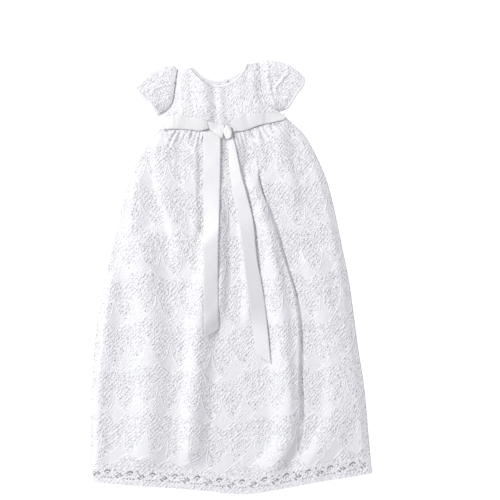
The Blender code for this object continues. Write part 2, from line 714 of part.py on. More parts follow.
def button(material, collection):
    """The one small button that shows inside the back of the neck."""
    mesh = bpy.data.meshes.new("back_button")
    disc = bmesh.new()
    bmesh.ops.create_cone(disc, cap_ends=True, segments=20, radius1=BUTTON_RADIUS * MM,
                          radius2=BUTTON_RADIUS * MM, depth=BUTTON_HEIGHT * MM)
    disc.to_mesh(mesh)
    disc.free()
    made = finish_object("back_button", mesh, material, collection)
    made.location = (BUTTON_PLACE[0] * MM, BUTTON_PLACE[1] * MM, (BINDING + SEAM + BUTTON_HEIGHT / 2) * MM)
    bevel = made.modifiers.new("rim", "BEVEL")
    bevel.width = 0.5 * MM
    bevel.segments = 1


def main():
    for old in list(bpy.data.objects):
        bpy.data.objects.remove(old)
    gown = bpy.data.collections.new("christening_gown")
    bpy.context.scene.collection.children.link(gown)
    lace = material_of("lace", LACE_WHITE)
    satin = material_of("satin_lining", SATIN_WHITE)
    ribbon = material_of("ribbon", RIBBON_WHITE)
    binding = material_of("binding", SATIN_WHITE)

    skirt_front(lace, gown)
    skirt_back(lace, gown)
    lining("lining_front", 20, 13, lining_height, satin, gown)
    lining("lining_back", 10, 13, lining_back_height, satin, gown)
    border("border_front", skirt_height, LACE, lace, gown)
    border("border_back", lambda u, v: 0.0, 0.0, lace, gown)
    bodice_front(lace, gown)
    bodice_back("bodice_back_left", -1, lace, gown)
    bodice_back("bodice_back_right", 1, lace, gown)
    left = sleeve_plan(SLEEVE_LEFT_TOP, SLEEVE_LEFT_CUFF, SLEEVE_LEFT_UNDER, ARMHOLE_LEFT, -1)
    right = sleeve_plan(SLEEVE_RIGHT_TOP, SLEEVE_RIGHT_CUFF, SLEEVE_RIGHT_UNDER, ARMHOLE_RIGHT, 1)
    sleeve("sleeve_left", left, False, lace, gown)
    sleeve("sleeve_right", right, True, lace, gown)
    cuff("cuff_left", left, False, binding, gown)
    cuff("cuff_right", right, True, binding, gown)
    neck_bindings(binding, gown)
    sash(ribbon, gown)
    button(material_of("button", BUTTON_WHITE), gown)


main()
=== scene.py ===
import math
from collections import namedtuple
from itertools import product

import bpy
import numpy as np
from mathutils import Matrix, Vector


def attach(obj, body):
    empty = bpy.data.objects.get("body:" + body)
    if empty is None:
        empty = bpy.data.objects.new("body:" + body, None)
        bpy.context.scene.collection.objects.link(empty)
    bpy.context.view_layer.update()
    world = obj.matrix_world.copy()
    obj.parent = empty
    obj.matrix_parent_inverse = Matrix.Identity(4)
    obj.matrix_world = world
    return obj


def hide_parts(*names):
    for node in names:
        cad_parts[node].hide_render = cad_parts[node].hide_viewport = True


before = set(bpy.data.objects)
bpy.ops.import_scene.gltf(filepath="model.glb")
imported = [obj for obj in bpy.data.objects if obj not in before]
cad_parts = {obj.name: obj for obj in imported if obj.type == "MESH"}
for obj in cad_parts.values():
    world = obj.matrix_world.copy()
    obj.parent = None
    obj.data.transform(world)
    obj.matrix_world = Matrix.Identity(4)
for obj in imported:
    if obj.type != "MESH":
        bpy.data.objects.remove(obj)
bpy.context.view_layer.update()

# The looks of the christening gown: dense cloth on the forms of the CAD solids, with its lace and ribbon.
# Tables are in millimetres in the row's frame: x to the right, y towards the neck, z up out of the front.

MM = 0.001
# Millimetres of flat cloth to one unit of its UV map.
CLOTH_UNIT = 100.0

# Thickness of each cloth, and the gap between two layers that meet.
LACE, SATIN, BODICE, RIBBON, BINDING = 1.0, 1.0, 1.4, 1.0, 1.6
SEAM = 0.3
SEWN_GAP = 0.2
NECK_BINDING_WIDTH = 4.5
CUFF_WIDTH = 5.0
LINING_INSET = 7.0
LINING_START = 5.0
LINING_OVERLAP = 1.5
BORDER_DEPTH = 28.0
LACE_SEAM_HEIGHT = LACE + SEAM
LINING_SEAM_HEIGHT = LACE + SATIN + 2 * SEAM
LINING_RISE = 3.2
LACE_ABOVE_LINING = 0.7
SKIRT_SWELL_LENGTH = 120.0
BODICE_SEAM_HEIGHT = BODICE + SEAM
BODICE_RISE = 2.3
# The back of the sash lies along BAND_MIDDLE and lifts the cloth over it: fully up to BAND_FULL from its
# middle, and not at all from BAND_REACH on.
BAND_MIDDLE = ((-112, 245), (88, 254))
BAND_LIFT = RIBBON + SEAM
BAND_FULL = 17.0
BAND_REACH = 34.0
# The skirt's rounded side edge, its columns in the grid, and how fast a panel rises from its edges.
EDGE_ROLL, EDGE_COLUMNS = 8.0, 6
RISE_REACH = 26.0

WAIST = ((-111, 241), (-80, 240), (-42, 237), (-8, 235), (19, 240), (43, 246), (88, 255))
HEM = (
    (-223, -329), (-161, -334), (-102, -338), (-49, -342), (20, -348), (84, -339), (138, -329), (226, -315),
)
SKIRT_LEFT = (
    (-111, 241), (-134, 211), (-155, 179), (-171, 130), (-190, 50),
    (-205, -14), (-220, -110), (-225, -200), (-226, -290), (-223, -329),
)
SKIRT_RIGHT = (
    (88, 255), (118, 226), (147, 170), (160, 130), (179, 42),
    (190, -14), (204, -118), (213, -174), (220, -250), (226, -315),
)
SHOULDER_LEFT = ((-86, 333), (-62, 337))
SHOULDER_RIGHT = ((23, 343), (45, 344))
NECK_FRONT = ((-62, 337), (-52, 324), (-37, 312), (-22, 307), (-6, 310), (8, 319), (18, 331), (23, 343))
NECK_BACK = ((-62, 337), (-51, 326), (-37, 318), (-23, 315), (-7, 318), (8, 326), (17, 335), (23, 343))
ARMHOLE_LEFT = ((-86, 333), (-89, 314), (-91.5, 294), (-95, 278), (-104, 264))
ARMHOLE_RIGHT = ((45, 344), (47, 314), (49, 294), (58, 277), (77, 264))
CENTRE_BACK_SHARE = 0.5
# A sleeve's top edge, its cuff, the edge under the arm and its armhole.
SLEEVES = {
    "left": (
        ((-86, 333), (-94, 339), (-110, 338), (-128, 331), (-144, 318), (-158, 301)),
        ((-158, 301), (-138, 282), (-116, 256)), ((-104, 264), (-116, 256)), ARMHOLE_LEFT),
    "right": (
        ((45, 344), (54, 347), (65, 348), (81, 344), (97, 337), (109, 328), (118, 319)),
        ((118, 319), (117, 307), (107, 293), (92, 269)), ((77, 264), (92, 269)), ARMHOLE_RIGHT),
}
# Height of a sleeve over the table at the armhole, in its middle and at the cuff. rise is how far from the
# armhole the height settles, and fall its drop from the sleeve's top edge towards the edge under the arm.
Puff = namedtuple("Puff", "armhole middle cuff rise fall")
PUFFS = {"left": Puff(4.8, 6.8, 7.6, 4.0, 0.0), "right": Puff(7.4, 8.4, 8.4, 18.0, 2.2)}
SLEEVE_FOLD_RADIUS = 2.2
CUFF_FOLD_RADIUS, CUFF_SWELL, CUFF_ROUND = 2.6, 0.5, 0.35
# Where a sleeve is shorter than this, from armhole to cuff, it puffs less.
PUFF_LENGTH = 40.0

# Folds and finer creases of the front panels: height, widths of the left flank, the flat top and the right
# flank, and the crest. A flank's width may be a pair: at the crest's lower end and at its upper one.
Fold = namedtuple("Fold", "height left top right crest")
SKIRT_FOLDS = (
    Fold(5.5, 14, 0, 34, ((-154, 150), (-159, 82), (-164, 50))),
    Fold(6.5, 16, 0, 48, ((-119, 205), (-110, 138), (-96, 90), (-83, 42))),
    Fold(5.0, 16, 0, 27, ((-198, -20), (-207, -134), (-216, -230), (-219, -290))),
    Fold(9.8, 42, 0, 42, (
        (-146, 50), (-141, 20), (-136, -20), (-128, -86), (-130, -150), (-131, -210), (-136, -290))),
    Fold(3.0, 10, 0, 11, ((-93, 232), (-91, 178))),
    Fold(3.4, 20, 0, 12, ((-57, 100), (-59, 60), (-61, 20))),
    Fold(3.4, 36, 10, 9, ((-68, 185), (-68, 154), (-68, 120))),
    Fold(2.6, 16, 0, 22, ((-26, 230), (-26, 154), (-22, 124))),
    Fold(8.0, 30, 0, 17, ((-18, 94), (-17, 44), (-17, 0), (-19, -40))),
    Fold(12.0, (22, 30), 0, (35, 32), (
        (-36, 40), (-39, 10), (-46, -30), (-51, -70), (-55, -118), (-58, -166), (-62, -214), (-65, -275))),
    Fold(6.0, 14, 2, (12, 20), ((4, 225), (12, 154), (20, 90), (26, 20), (28, -50))),
    Fold(3.0, 10, 0, 8, ((40, 240), (48, 205), (54, 185))),
    Fold(8.5, 24, 0, 13, ((39, 140), (47, 114), (61, 58), (70, 20))),
    Fold(12.5, (36, 26), 0, (30, 22), (
        (50, 100), (61, 74), (69, 26), (76, -22), (82, -70),
        (85, -118), (88, -166), (91, -214), (88, -262), (68, -305))),
    Fold(7.4, 20, 12, (10, 2.5), (
        (31, 154), (41, 122), (58, 74), (72, 26), (87, -22), (93, -60), (95, -100), (94, -166), (95, -214))),
    Fold(6.0, 32, 0, 22, ((76, 238), (83, 200), (92, 160), (100, 128))),
    Fold(3.0, 26, 0, 22, ((143, 160), (157, 110), (168, 58), (174, -6), (178, -70))),
    Fold(7.2, 28, 3, 62, (
        (124, 20), (143, -38), (155, -102), (164, -158), (164, -214), (148, -262), (122, -305))),
    Fold(4.5, 26, 0, 38, ((176, -285), (182, -330))),
    Fold(3.6, 50, 0, 13, (
        (155, 120), (172, 42), (183, -14), (197, -118), (205, -174), (212, -240), (215, -275))),
    Fold(3.0, 30, 0, 14, ((122, 215), (138, 180), (148, 140))),
)
# The line of the deep pleat, down to the hem, and how high its panel stands over the valley at each y.
PLEAT_LINE = (
    (27, 236), (39, 194), (50, 154), (60, 122), (79, 74), (93, 26), (108, -22), (116, -60),
    (119, -100), (119, -166), (120, -214), (113, -262), (93, -302), (84, -330),
)
PLEAT_STAND = (
    (-335, 0), (-290, 0.6), (-230, 2), (-120, 3), (-30, 4.2), (114, 4.2), (154, 4), (194, 3), (228, 1),
)
# Reach of the panel's rise, width of its step, and how far its edge is pushed over the valley.
PLEAT_REACH, PLEAT_STEP = 120.0, 0.2
PLEAT_TUCK, PLEAT_TUCK_REACH = 4.2, 12.0
# The stretches of y over which that push grows from the hem up, and fades again.
TUCK_STARTS, TUCK_ENDS = (-270, -190), (135, 225)
# Share of the grid's columns to the left of the pleat.
PLEAT_COLUMN_SHARE = 0.7
BODICE_FOLDS = (
    Fold(2.0, 6, 0, 40, ((-82, 318), (-78, 262))),
    Fold(5.4, 30, 0, 18, ((-45, 318), (-40, 264))),
    Fold(1.4, 8, 0, 9, ((-19, 300), (-15, 252))),
    Fold(3.0, 40, 0, 24, ((32, 300), (38, 256))),
)
# How far a fold fades out past each end of its crest, and the power that joins folds where they meet.
FOLD_FADE = 38.0
FOLD_UNION = 3.0
WAIST_GATHERS, GATHER_HEIGHT, GATHER_FULL, GATHER_REACH = 24, 2.8, 14.0, 70.0
HEM_SETTLES = 60.0

# Cells of the noise's table, and the cell at which a place of zero reads it.
NOISE_CELLS, NOISE_START = 97, 400

# Width and length of one repeat of the lace's pattern.
REPEAT_WIDTH, REPEAT_LENGTH = 36.0, 72.0

# Each stretch of ribbon between its two edges: the upper and the lower one, or the left and the right one.

SASH_LEFT = (
    ((-109, 255), (-83, 259), (-60, 254), (-38, 250)),
    ((-109, 235), (-94, 236), (-70, 235), (-48, 233), (-36.5, 236)))
SASH_FOLD = (
    ((-37.5, 247.5), (-24, 245), (-11, 242.5)),
    ((-35.5, 235.5), (-25, 228), (-14, 220)))
SASH_RIGHT = (
    ((0, 249.5), (14, 256), (45, 261), (70, 262), (87, 258)),
    ((4, 231.5), (20, 233), (46, 242), (64, 246), (85, 251)))
SASH_BACK = (((-110, 256), (-12, 255), (86, 261)), ((-110, 236), (-12, 232), (86, 247)))
KNOT = (((-9, 242), (-13, 231), (-8, 219)), ((-1.5, 239), (1.5, 230), (0.5, 222)))
TAIL_LEFT = (
    ((-45, 231.5), (-44.5, 120), (-44, 0), (-42.5, -98)),
    ((-17, 231.5), (-17, 200), (-18.5, 120), (-20.5, 40), (-20.5, -40), (-19.5, -84)))
TAIL_RIGHT = (
    ((-4.5, 226), (-3.5, 172), (3.5, 130), (14, 76), (20, 26), (28.5, -38), (38.5, -122)),
    ((1.5, 228), (7, 207), (15.5, 164), (25, 130), (35, 89), (40.5, 34), (53, -38), (63.5, -139)))
BUTTON_PLACE = (-9.0, 314.2)


# Curves and surfaces


def smoothstep(low, high, value):
    share = np.clip((np.asarray(value, float) - low) / (high - low), 0, 1)
    return share * share * (3 - 2 * share)


def between(pairs, value):
    """The value read off straight lines through the pairs."""
    return np.interp(value, *zip(*pairs))


def through(stations, values, where):
    """A smooth curve through the values at their stations, read at any places; a value may be a point."""
    order = np.arange(len(stations))
    before, after = np.maximum(order - 1, 0), np.minimum(order + 1, len(stations) - 1)
    slopes = ((values[after] - values[before]).T / (stations[after] - stations[before])).T
    where = np.clip(where, stations[0], stations[-1])
    i = np.clip(np.searchsorted(stations, where, side="right") - 1, 0, len(stations) - 2)
    span = stations[i + 1] - stations[i]
    share = (where - stations[i]) / span
    if values.ndim > 1:
        span, share = span[..., None], share[..., None]
    square, cube = share * share, share**3
    return (
        values[i] * (2 * cube - 3 * square + 1)
        + slopes[i] * span * (cube - 2 * square + share)
        + values[i + 1] * (3 * square - 2 * cube)
        + slopes[i + 1] * span * (cube - square)
    )


def smooth_curve(points):
    """A curve through the points as a function of its share of length; shares may be arrays."""
    points = np.array(points, float)
    stations = np.concatenate([[0], np.cumsum(np.linalg.norm(np.diff(points, axis=0), axis=1))])
    return lambda share: through(stations, points, np.clip(share, 0, 1) * stations[-1])


def offset_curve(points, distance):
    """The curve moved sideways, to the right of its own direction."""
    curve = smooth_curve(points)

    def at(share):
        share = np.asarray(share, float)
        along = curve(np.minimum(1, share + 0.01)) - curve(np.maximum(0, share - 0.01))
        side = np.stack([along[..., 1], -along[..., 0]], -1)
        return curve(share) + side / np.linalg.norm(side, axis=-1, keepdims=True) * distance

    return at


def joined(curves, shares):
    """Several curves run through one after another, each over its share of 0 to 1."""
    starts = np.concatenate([[0], np.cumsum(shares)])

    def at(share):
        share = np.asarray(share, float)
        found = np.zeros(share.shape + (2,))
        for k, curve in enumerate(curves):
            inside = share >= starts[k] - 1e-9
            local = np.clip((share - starts[k]) / shares[k], 0, 1)
            found = np.where(inside[..., None], curve(local), found)
        return found

    return at


def coons(top, bottom, left, right):
    """Plan of a panel between four edges: u runs left to right, v from the top edge to the bottom one."""
    corners = top(0.0), top(1.0), bottom(0.0), bottom(1.0)

    def at(u, v):
        across, down = np.asarray(u, float)[..., None], np.asarray(v, float)[..., None]
        ruled = top(u) * (1 - down) + bottom(u) * down + left(v) * (1 - across) + right(v) * across
        upper = corners[0] * (1 - across) + corners[1] * across
        lower = corners[2] * (1 - across) + corners[3] * across
        return ruled - upper * (1 - down) - lower * down

    return at


def ruled(first, second, u, v):
    """Plan of a strip between two curves: u runs along them, v from the first to the second."""
    return first(u) * (1 - v[..., None]) + second(u) * v[..., None]


def width_at(plan, v):
    """Width of a plan at each share down it."""
    return np.linalg.norm(plan(np.ones_like(v), v) - plan(np.zeros_like(v), v), axis=-1)


def length_at(plan, u):
    """Length of a plan at each share across it."""
    return np.linalg.norm(plan(u, np.ones_like(u)) - plan(u, np.zeros_like(u)), axis=-1)


def crest_x(crest, y):
    """X of a fold's crest at each y; its points run down the cloth."""
    x_at, y_at = np.array(crest, float)[::-1].T
    return through(y_at, x_at, y)


def fold_height(folds, x, y):
    """How far the folds lift the cloth at each place."""
    total = np.zeros(np.shape(x))
    for fold in folds:
        above, below = fold.crest[0][1], fold.crest[-1][1]
        fade = smoothstep(-FOLD_FADE, 0, above - y) * smoothstep(-FOLD_FADE, 0, y - below)
        aside = x - crest_x(fold.crest, y)
        left = np.interp(y, (below, above), np.broadcast_to(fold.left, 2))
        right = np.interp(y, (below, above), np.broadcast_to(fold.right, 2))
        share = np.where(aside < 0, -aside / left, np.maximum(0, aside - fold.top) / right)
        rise = fold.height * fade * (0.5 + 0.5 * np.cos(np.pi * np.minimum(share, 1)))
        total += rise**FOLD_UNION
    return total ** (1 / FOLD_UNION)


def from_pleat(x, y):
    """Distance from the pleat's line over the panel to its right, and whether a place is on that panel."""
    off = x - crest_x(PLEAT_LINE, y)
    return np.maximum(off, 0), off > -PLEAT_STEP / 4


def pleat_stand(x, y):
    """How high the panel to the right of the pleat stands over the valley on its left."""
    off, on_panel = from_pleat(x, y)
    fade = 0.5 + 0.5 * np.cos(np.pi * np.minimum(off / PLEAT_REACH, 1))
    return between(PLEAT_STAND, y) * fade * on_panel


def pleat_tuck(x, y):
    """How far the panel beside the pleat is pushed over the valley."""
    off, on_panel = from_pleat(x, y)
    open_share = smoothstep(*TUCK_STARTS, y) * (1 - smoothstep(*TUCK_ENDS, y))
    return PLEAT_TUCK * open_share * np.exp(-off / PLEAT_TUCK_REACH) * on_panel


def read_table(table, i, j, smooth=False):
    """A table read between its cells, going round at its ends."""
    i0, j0 = np.floor(i).astype(int), np.floor(j).astype(int)
    fi, fj = i - i0, j - j0
    if smooth:
        fi, fj = smoothstep(0, 1, fi), smoothstep(0, 1, fj)

    def cell(a, b):
        return table[a % table.shape[0], b % table.shape[1]]

    first = cell(i0, j0) * (1 - fi) + cell(i0 + 1, j0) * fi
    second = cell(i0, j0 + 1) * (1 - fi) + cell(i0 + 1, j0 + 1) * fi
    return first * (1 - fj) + second * fj


def rumple(x, y, size, seed):
    """Smooth noise from -1 to 1, with features of about this size."""
    draws = np.random.default_rng(seed).uniform(-1, 1, (NOISE_CELLS, NOISE_CELLS))
    return read_table(draws, x / size + NOISE_START, y / size + NOISE_START, smooth=True)


# Forms of the panels


skirt_left, skirt_right = smooth_curve(SKIRT_LEFT), smooth_curve(SKIRT_RIGHT)
skirt_plan = coons(smooth_curve(WAIST), smooth_curve(HEM), skirt_left, skirt_right)
SKIRT_LENGTH = float(np.linalg.norm(skirt_plan(0.5, 0.0) - skirt_plan(0.5, 1.0)))
BORDER_SHARE = 1 - BORDER_DEPTH / SKIRT_LENGTH


def skirt_width(v):
    return np.linalg.norm(skirt_right(v) - skirt_left(v), axis=-1)


def over_band(place):
    """How far the back of the sash lifts the cloth over it."""
    (x0, y0), (x1, y1) = BAND_MIDDLE
    off = np.abs(place[..., 1] - (y0 + (y1 - y0) * (place[..., 0] - x0) / (x1 - x0)))
    return BAND_LIFT * (1 - smoothstep(BAND_FULL, BAND_REACH, off))


def back_height(u, v):
    """Height of the upper face of the skirt's back, which lies flat on the table."""
    return LACE + over_band(skirt_plan(u, v))


def lining_height(u, v):
    """Height of the lower face of the lining's front."""
    aside = np.minimum(u, 1 - u) * skirt_width(v)
    rise = 1 - np.exp(-np.maximum(0, aside - LINING_INSET) / RISE_REACH)
    swell = LINING_RISE * rise * smoothstep(0, SKIRT_SWELL_LENGTH, v * SKIRT_LENGTH)
    return LINING_SEAM_HEIGHT + over_band(skirt_plan(u, v)) + swell


def uneven_gathers(count, u, down, seed):
    """Gathers of uneven spacing, height and length, 0 to 1; down is the distance from the seam."""
    phase = count * u + 0.35 * np.sin(2 * np.pi * (3.1 * u + 0.17 * seed)) + 0.2 * np.sin(41 * u)
    height = 0.72 + 0.28 * np.sin(2.4 * phase + seed)
    reach = GATHER_REACH * (0.7 + 0.3 * np.sin(1.7 * phase + 2 * seed))
    wave = (0.5 - 0.5 * np.cos(2 * np.pi * phase)) ** 1.3
    return wave * height * smoothstep(0, GATHER_FULL, down) * (1 - smoothstep(GATHER_FULL, reach, down))


def skirt_outer(u, v):
    """Height of the lace front's outer face."""
    place = skirt_plan(u, v)
    x, y = place[..., 0], place[..., 1]
    aside, down = np.minimum(u, 1 - u) * skirt_width(v), v * SKIRT_LENGTH
    share = np.clip(aside / EDGE_ROLL, 0, 1)
    edge = np.sqrt(1 - (1 - share) ** 2)
    seam = LACE_SEAM_HEIGHT + over_band(place)
    base = seam + (lining_height(u, v) + SATIN + LACE_ABOVE_LINING - seam) * edge
    folds = fold_height(SKIRT_FOLDS, x, y)
    folds = (folds**FOLD_UNION + pleat_stand(x, y)**FOLD_UNION)**(1 / FOLD_UNION)
    folds *= smoothstep(1, 14, aside) * smoothstep(2, 30, down)
    folds *= 0.35 + 0.65 * smoothstep(5, HEM_SETTLES, SKIRT_LENGTH - down)
    gathers = GATHER_HEIGHT * uneven_gathers(WAIST_GATHERS, u, down, 1) * smoothstep(2, 10, aside)
    fine = 0.35 * rumple(x, y, 17, 3) + 0.25 * rumple(x * 1.6, y, 8, 4)
    fine = (fine + 0.5) * smoothstep(2, 20, aside) * smoothstep(2, 20, down)
    return base + folds + gathers + fine + LACE


def bodice_height(place, aside):
    """Height of the bodice front's inner face, at this distance from its side edges."""
    x, y = place[..., 0], place[..., 1]
    rise = BODICE_RISE * (1 - np.exp(-aside / RISE_REACH))
    folds = fold_height(BODICE_FOLDS, x, y) * smoothstep(2, 14, aside)
    fine = (0.3 * rumple(x, y, 12, 5) + 0.3) * smoothstep(2, 12, aside)
    return BODICE_SEAM_HEIGHT + over_band(place) + rise + folds + fine


# Meshes


def raised(place, height):
    """The points of a plan at their heights."""
    return np.concatenate([place, height[..., None]], axis=-1)


def cloth_coordinates(points, down):
    """Coordinates on the flat cloth, in mm: across by the length along each row from the middle, and down."""
    steps = np.linalg.norm(np.diff(points, axis=1), axis=2)
    across = np.concatenate([np.zeros((len(points), 1)), np.cumsum(steps, axis=1)], axis=1)
    centre = across[:, (points.shape[1] - 1) // 2]
    return np.stack([across - centre[:, None], np.broadcast_to(down, across.shape)], -1)


def grid_mesh(points, cloth=None, closed=False, turned=False, keep=None):
    """A mesh from rows of points, in mm, with the cloth's flat coordinates as its UV map."""
    rows, columns = points.shape[:2]
    index = np.arange(rows * columns).reshape(rows, columns)
    if closed:
        index = np.hstack([index, index[:, :1]])
    corners = [index[:-1, :-1], index[1:, :-1], index[1:, 1:], index[:-1, 1:]]
    if turned:
        corners = corners[::-1]
    quads = np.stack(corners, -1)
    quads = quads[keep] if keep is not None else quads.reshape(-1, 4)
    used, quads = np.unique(quads, return_inverse=True)
    quads = quads.reshape(-1, 4)
    mesh = bpy.data.meshes.new("grid")
    mesh.from_pydata((points.reshape(-1, 3)[used] * MM).tolist(), [], quads.tolist())
    if cloth is not None:
        layer = mesh.uv_layers.new(name="cloth")
        layer.data.foreach_set("uv", (cloth.reshape(-1, 2)[used][quads.ravel()] / CLOTH_UNIT).ravel())
    mesh.shade_smooth()
    return mesh


def new_object(name, data):
    made = bpy.data.objects.new(name, data)
    bpy.context.scene.collection.objects.link(made)
    return made


def add_piece(name, mesh, material, node=None, wall=0.0):
    """A piece that rides on the part in place of a node, given its wall inwards from its outer face."""
    mesh.name = name
    made = new_object(name, mesh)
    mesh.materials.append(material)
    if wall:
        solidify = made.modifiers.new("wall", "SOLIDIFY")
        solidify.thickness = wall * MM
        solidify.offset = -1
        solidify.use_even_offset = False
    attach(made, "root")
    if node:
        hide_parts(node)
    return made


def normals_of(points):
    normal = np.cross(np.gradient(points, axis=0), np.gradient(points, axis=1))
    return normal / np.maximum(np.linalg.norm(normal, axis=2, keepdims=True), 1e-9)


class Panel:
    """A panel's grid of points with its flat coordinates, to lay cords on it."""

    def __init__(self, points, cloth):
        self.points, self.cloth = points, cloth
        self.normals = normals_of(points)
        self.down = cloth[:, 0, 1]

    def at(self, s, t, lift):
        """Point and normal at flat coordinates s and t, or None outside the panel."""
        if not self.down[0] <= t <= self.down[-1]:
            return None
        row = np.interp(t, self.down, np.arange(len(self.down)))
        low = min(int(row), len(self.down) - 2)
        found = []
        for r in (low, low + 1):
            across = self.cloth[r, :, 0]
            if not across[0] <= s <= across[-1]:
                return None
            column = np.interp(s, across, np.arange(len(across)))
            c = min(int(column), len(across) - 2)
            f = column - c
            found.append((self.points[r, c] * (1 - f) + self.points[r, c + 1] * f, self.normals[r, c]))
        f = row - low
        normal = found[0][1] * (1 - f) + found[1][1] * f
        normal = normal / max(np.linalg.norm(normal), 1e-9)
        return found[0][0] * (1 - f) + found[1][0] * f + normal * lift, normal


def ridge_mesh(paths, half_width, height):
    """Raised cords: each path is a list of (point, normal) pairs in mm."""
    vertices, faces = [], []
    for path in paths:
        points, normals = np.array(path).transpose(1, 0, 2)
        side = np.cross(np.gradient(points, axis=0), normals)
        side *= half_width / np.maximum(np.linalg.norm(side, axis=1, keepdims=True), 1e-9)
        start = len(vertices)
        for p, n, k in zip(points, normals, side):
            vertices += [p - k - n * CORD_SUNK, p + n * height, p + k - n * CORD_SUNK]
        for a in range(start, len(vertices) - 3, 3):
            faces += [(a, a + 1, a + 4, a + 3), (a + 1, a + 2, a + 5, a + 4)]
    mesh = bpy.data.meshes.new("ridges")
    mesh.from_pydata((np.array(vertices) * MM).tolist(), [], faces)
    mesh.shade_smooth()
    return mesh


# The lace

# Half of a leaf's width as a share of half a repeat, at shares of the repeat's length above the leaf's tip.
# From LEAF_TOP up, the leaves beside it take its place.
LEAF_EDGE = (
    (0.0, 0.0), (0.03, 0.20), (0.08, 0.41), (0.15, 0.60), (0.25, 0.76),
    (0.35, 0.86), (0.45, 0.94), (0.52, 1.0),
)
LEAF_TOP = 0.50
# How far the pattern is moved up the skirt, so that its last row of leaves ends just above the border.
PATTERN_START = 110.0
# The rows of leaves wave, as the folds have pulled them: height, wavelength over 2 pi and phase.
ROW_WAVES = ((6.0, 31.0, 0.0), (4.0, 13.7, 1.0))
# Depth of the round foot of a drop of ground, and how far a leaf's edges run on and cross below its tip.
DROP_FOOT, CROSSED_END = 10.0, 11.0
# Step between a raised cord's points, and how far its edges are sunk into the cloth.
CORD_STEP, CORD_SUNK = 2.2, 0.15
# Pitch of the net's diagonals, size of its strokes, and height of a leaf's ring above its tip.
NET_PITCH = 7.0
STROKE_WIDTH, STROKE_LENGTH = 4.6, 8.0
RING_RISE, RING_RADIUS = 12.0, 2.8
# Depth of the relief in the lace with leaves and in the plain net, and roughness, sheen and gloss of both.
LEAF_RELIEF, NET_RELIEF = 1.1, 0.92
LACE_FINISH = (0.72, 0.1, 0.2)
LACE_COLOUR = (0.95, 0.95, 0.962, 1)
GROUND_COLOUR = (0.828, 0.828, 0.841, 1)
CORD_COLOUR = (0.95, 0.95, 0.955, 1)
NET_COLOUR = (0.94, 0.94, 0.952, 1)
# Painted shade: the lace's eyelets and holes take this colour for the shade seen through them.
SHADE_COLOUR = (0.50, 0.49, 0.56, 1)
# Pitch of a satin's ribs, and distance of a ribbon's stitches from its middle.
RIB_PITCH, SELVEDGE = 0.7, 11.2


def lace_paths(panel, lift, shift):
    """The raised outlines of the lace's leaves, on a panel: two edges and the crossed ends below each tip."""
    s_all, t_all = panel.cloth[..., 0], panel.cloth[..., 1]
    rows = range(int(t_all.min() // REPEAT_LENGTH) - 1, int(t_all.max() // REPEAT_LENGTH) + 2)
    columns = range(int(s_all.min() // REPEAT_WIDTH) - 1, int(s_all.max() // REPEAT_WIDTH) + 2)
    paths = []
    for row, column, side in product(rows, columns, (-1, 1)):
        tip_s = (column + 0.5 * (row % 2)) * REPEAT_WIDTH
        paths.append([])
        for up in np.arange(-CROSSED_END, LEAF_TOP * REPEAT_LENGTH, CORD_STEP):
            aside = up if up < 0 else between(LEAF_EDGE, up / REPEAT_LENGTH) * REPEAT_WIDTH / 2
            s = tip_s + side * aside
            wave = sum(height * np.sin(s / length + phase) for height, length, phase in ROW_WAVES)
            t = (row + 1) * REPEAT_LENGTH - up - wave
            found = panel.at(s + shift[0], t + shift[1], lift)
            if found is None:
                paths.append([])
            else:
                paths[-1].append(found)
    return [path for path in paths if len(path) > 2]


# Materials


def operator(name):
    return lambda value, other: value.shader.math(name, value, other)


class Value:
    """An output of a material's node, for use in formulas."""

    def __init__(self, shader, socket):
        self.shader, self.socket = shader, socket

    __add__, __sub__, __mul__ = operator("ADD"), operator("SUBTRACT"), operator("MULTIPLY")
    __truediv__, __pow__ = operator("DIVIDE"), operator("POWER")

    def __rsub__(self, other):
        return self.shader.math("SUBTRACT", other, self)

    def __abs__(self):
        return self.shader.math("ABSOLUTE", self)


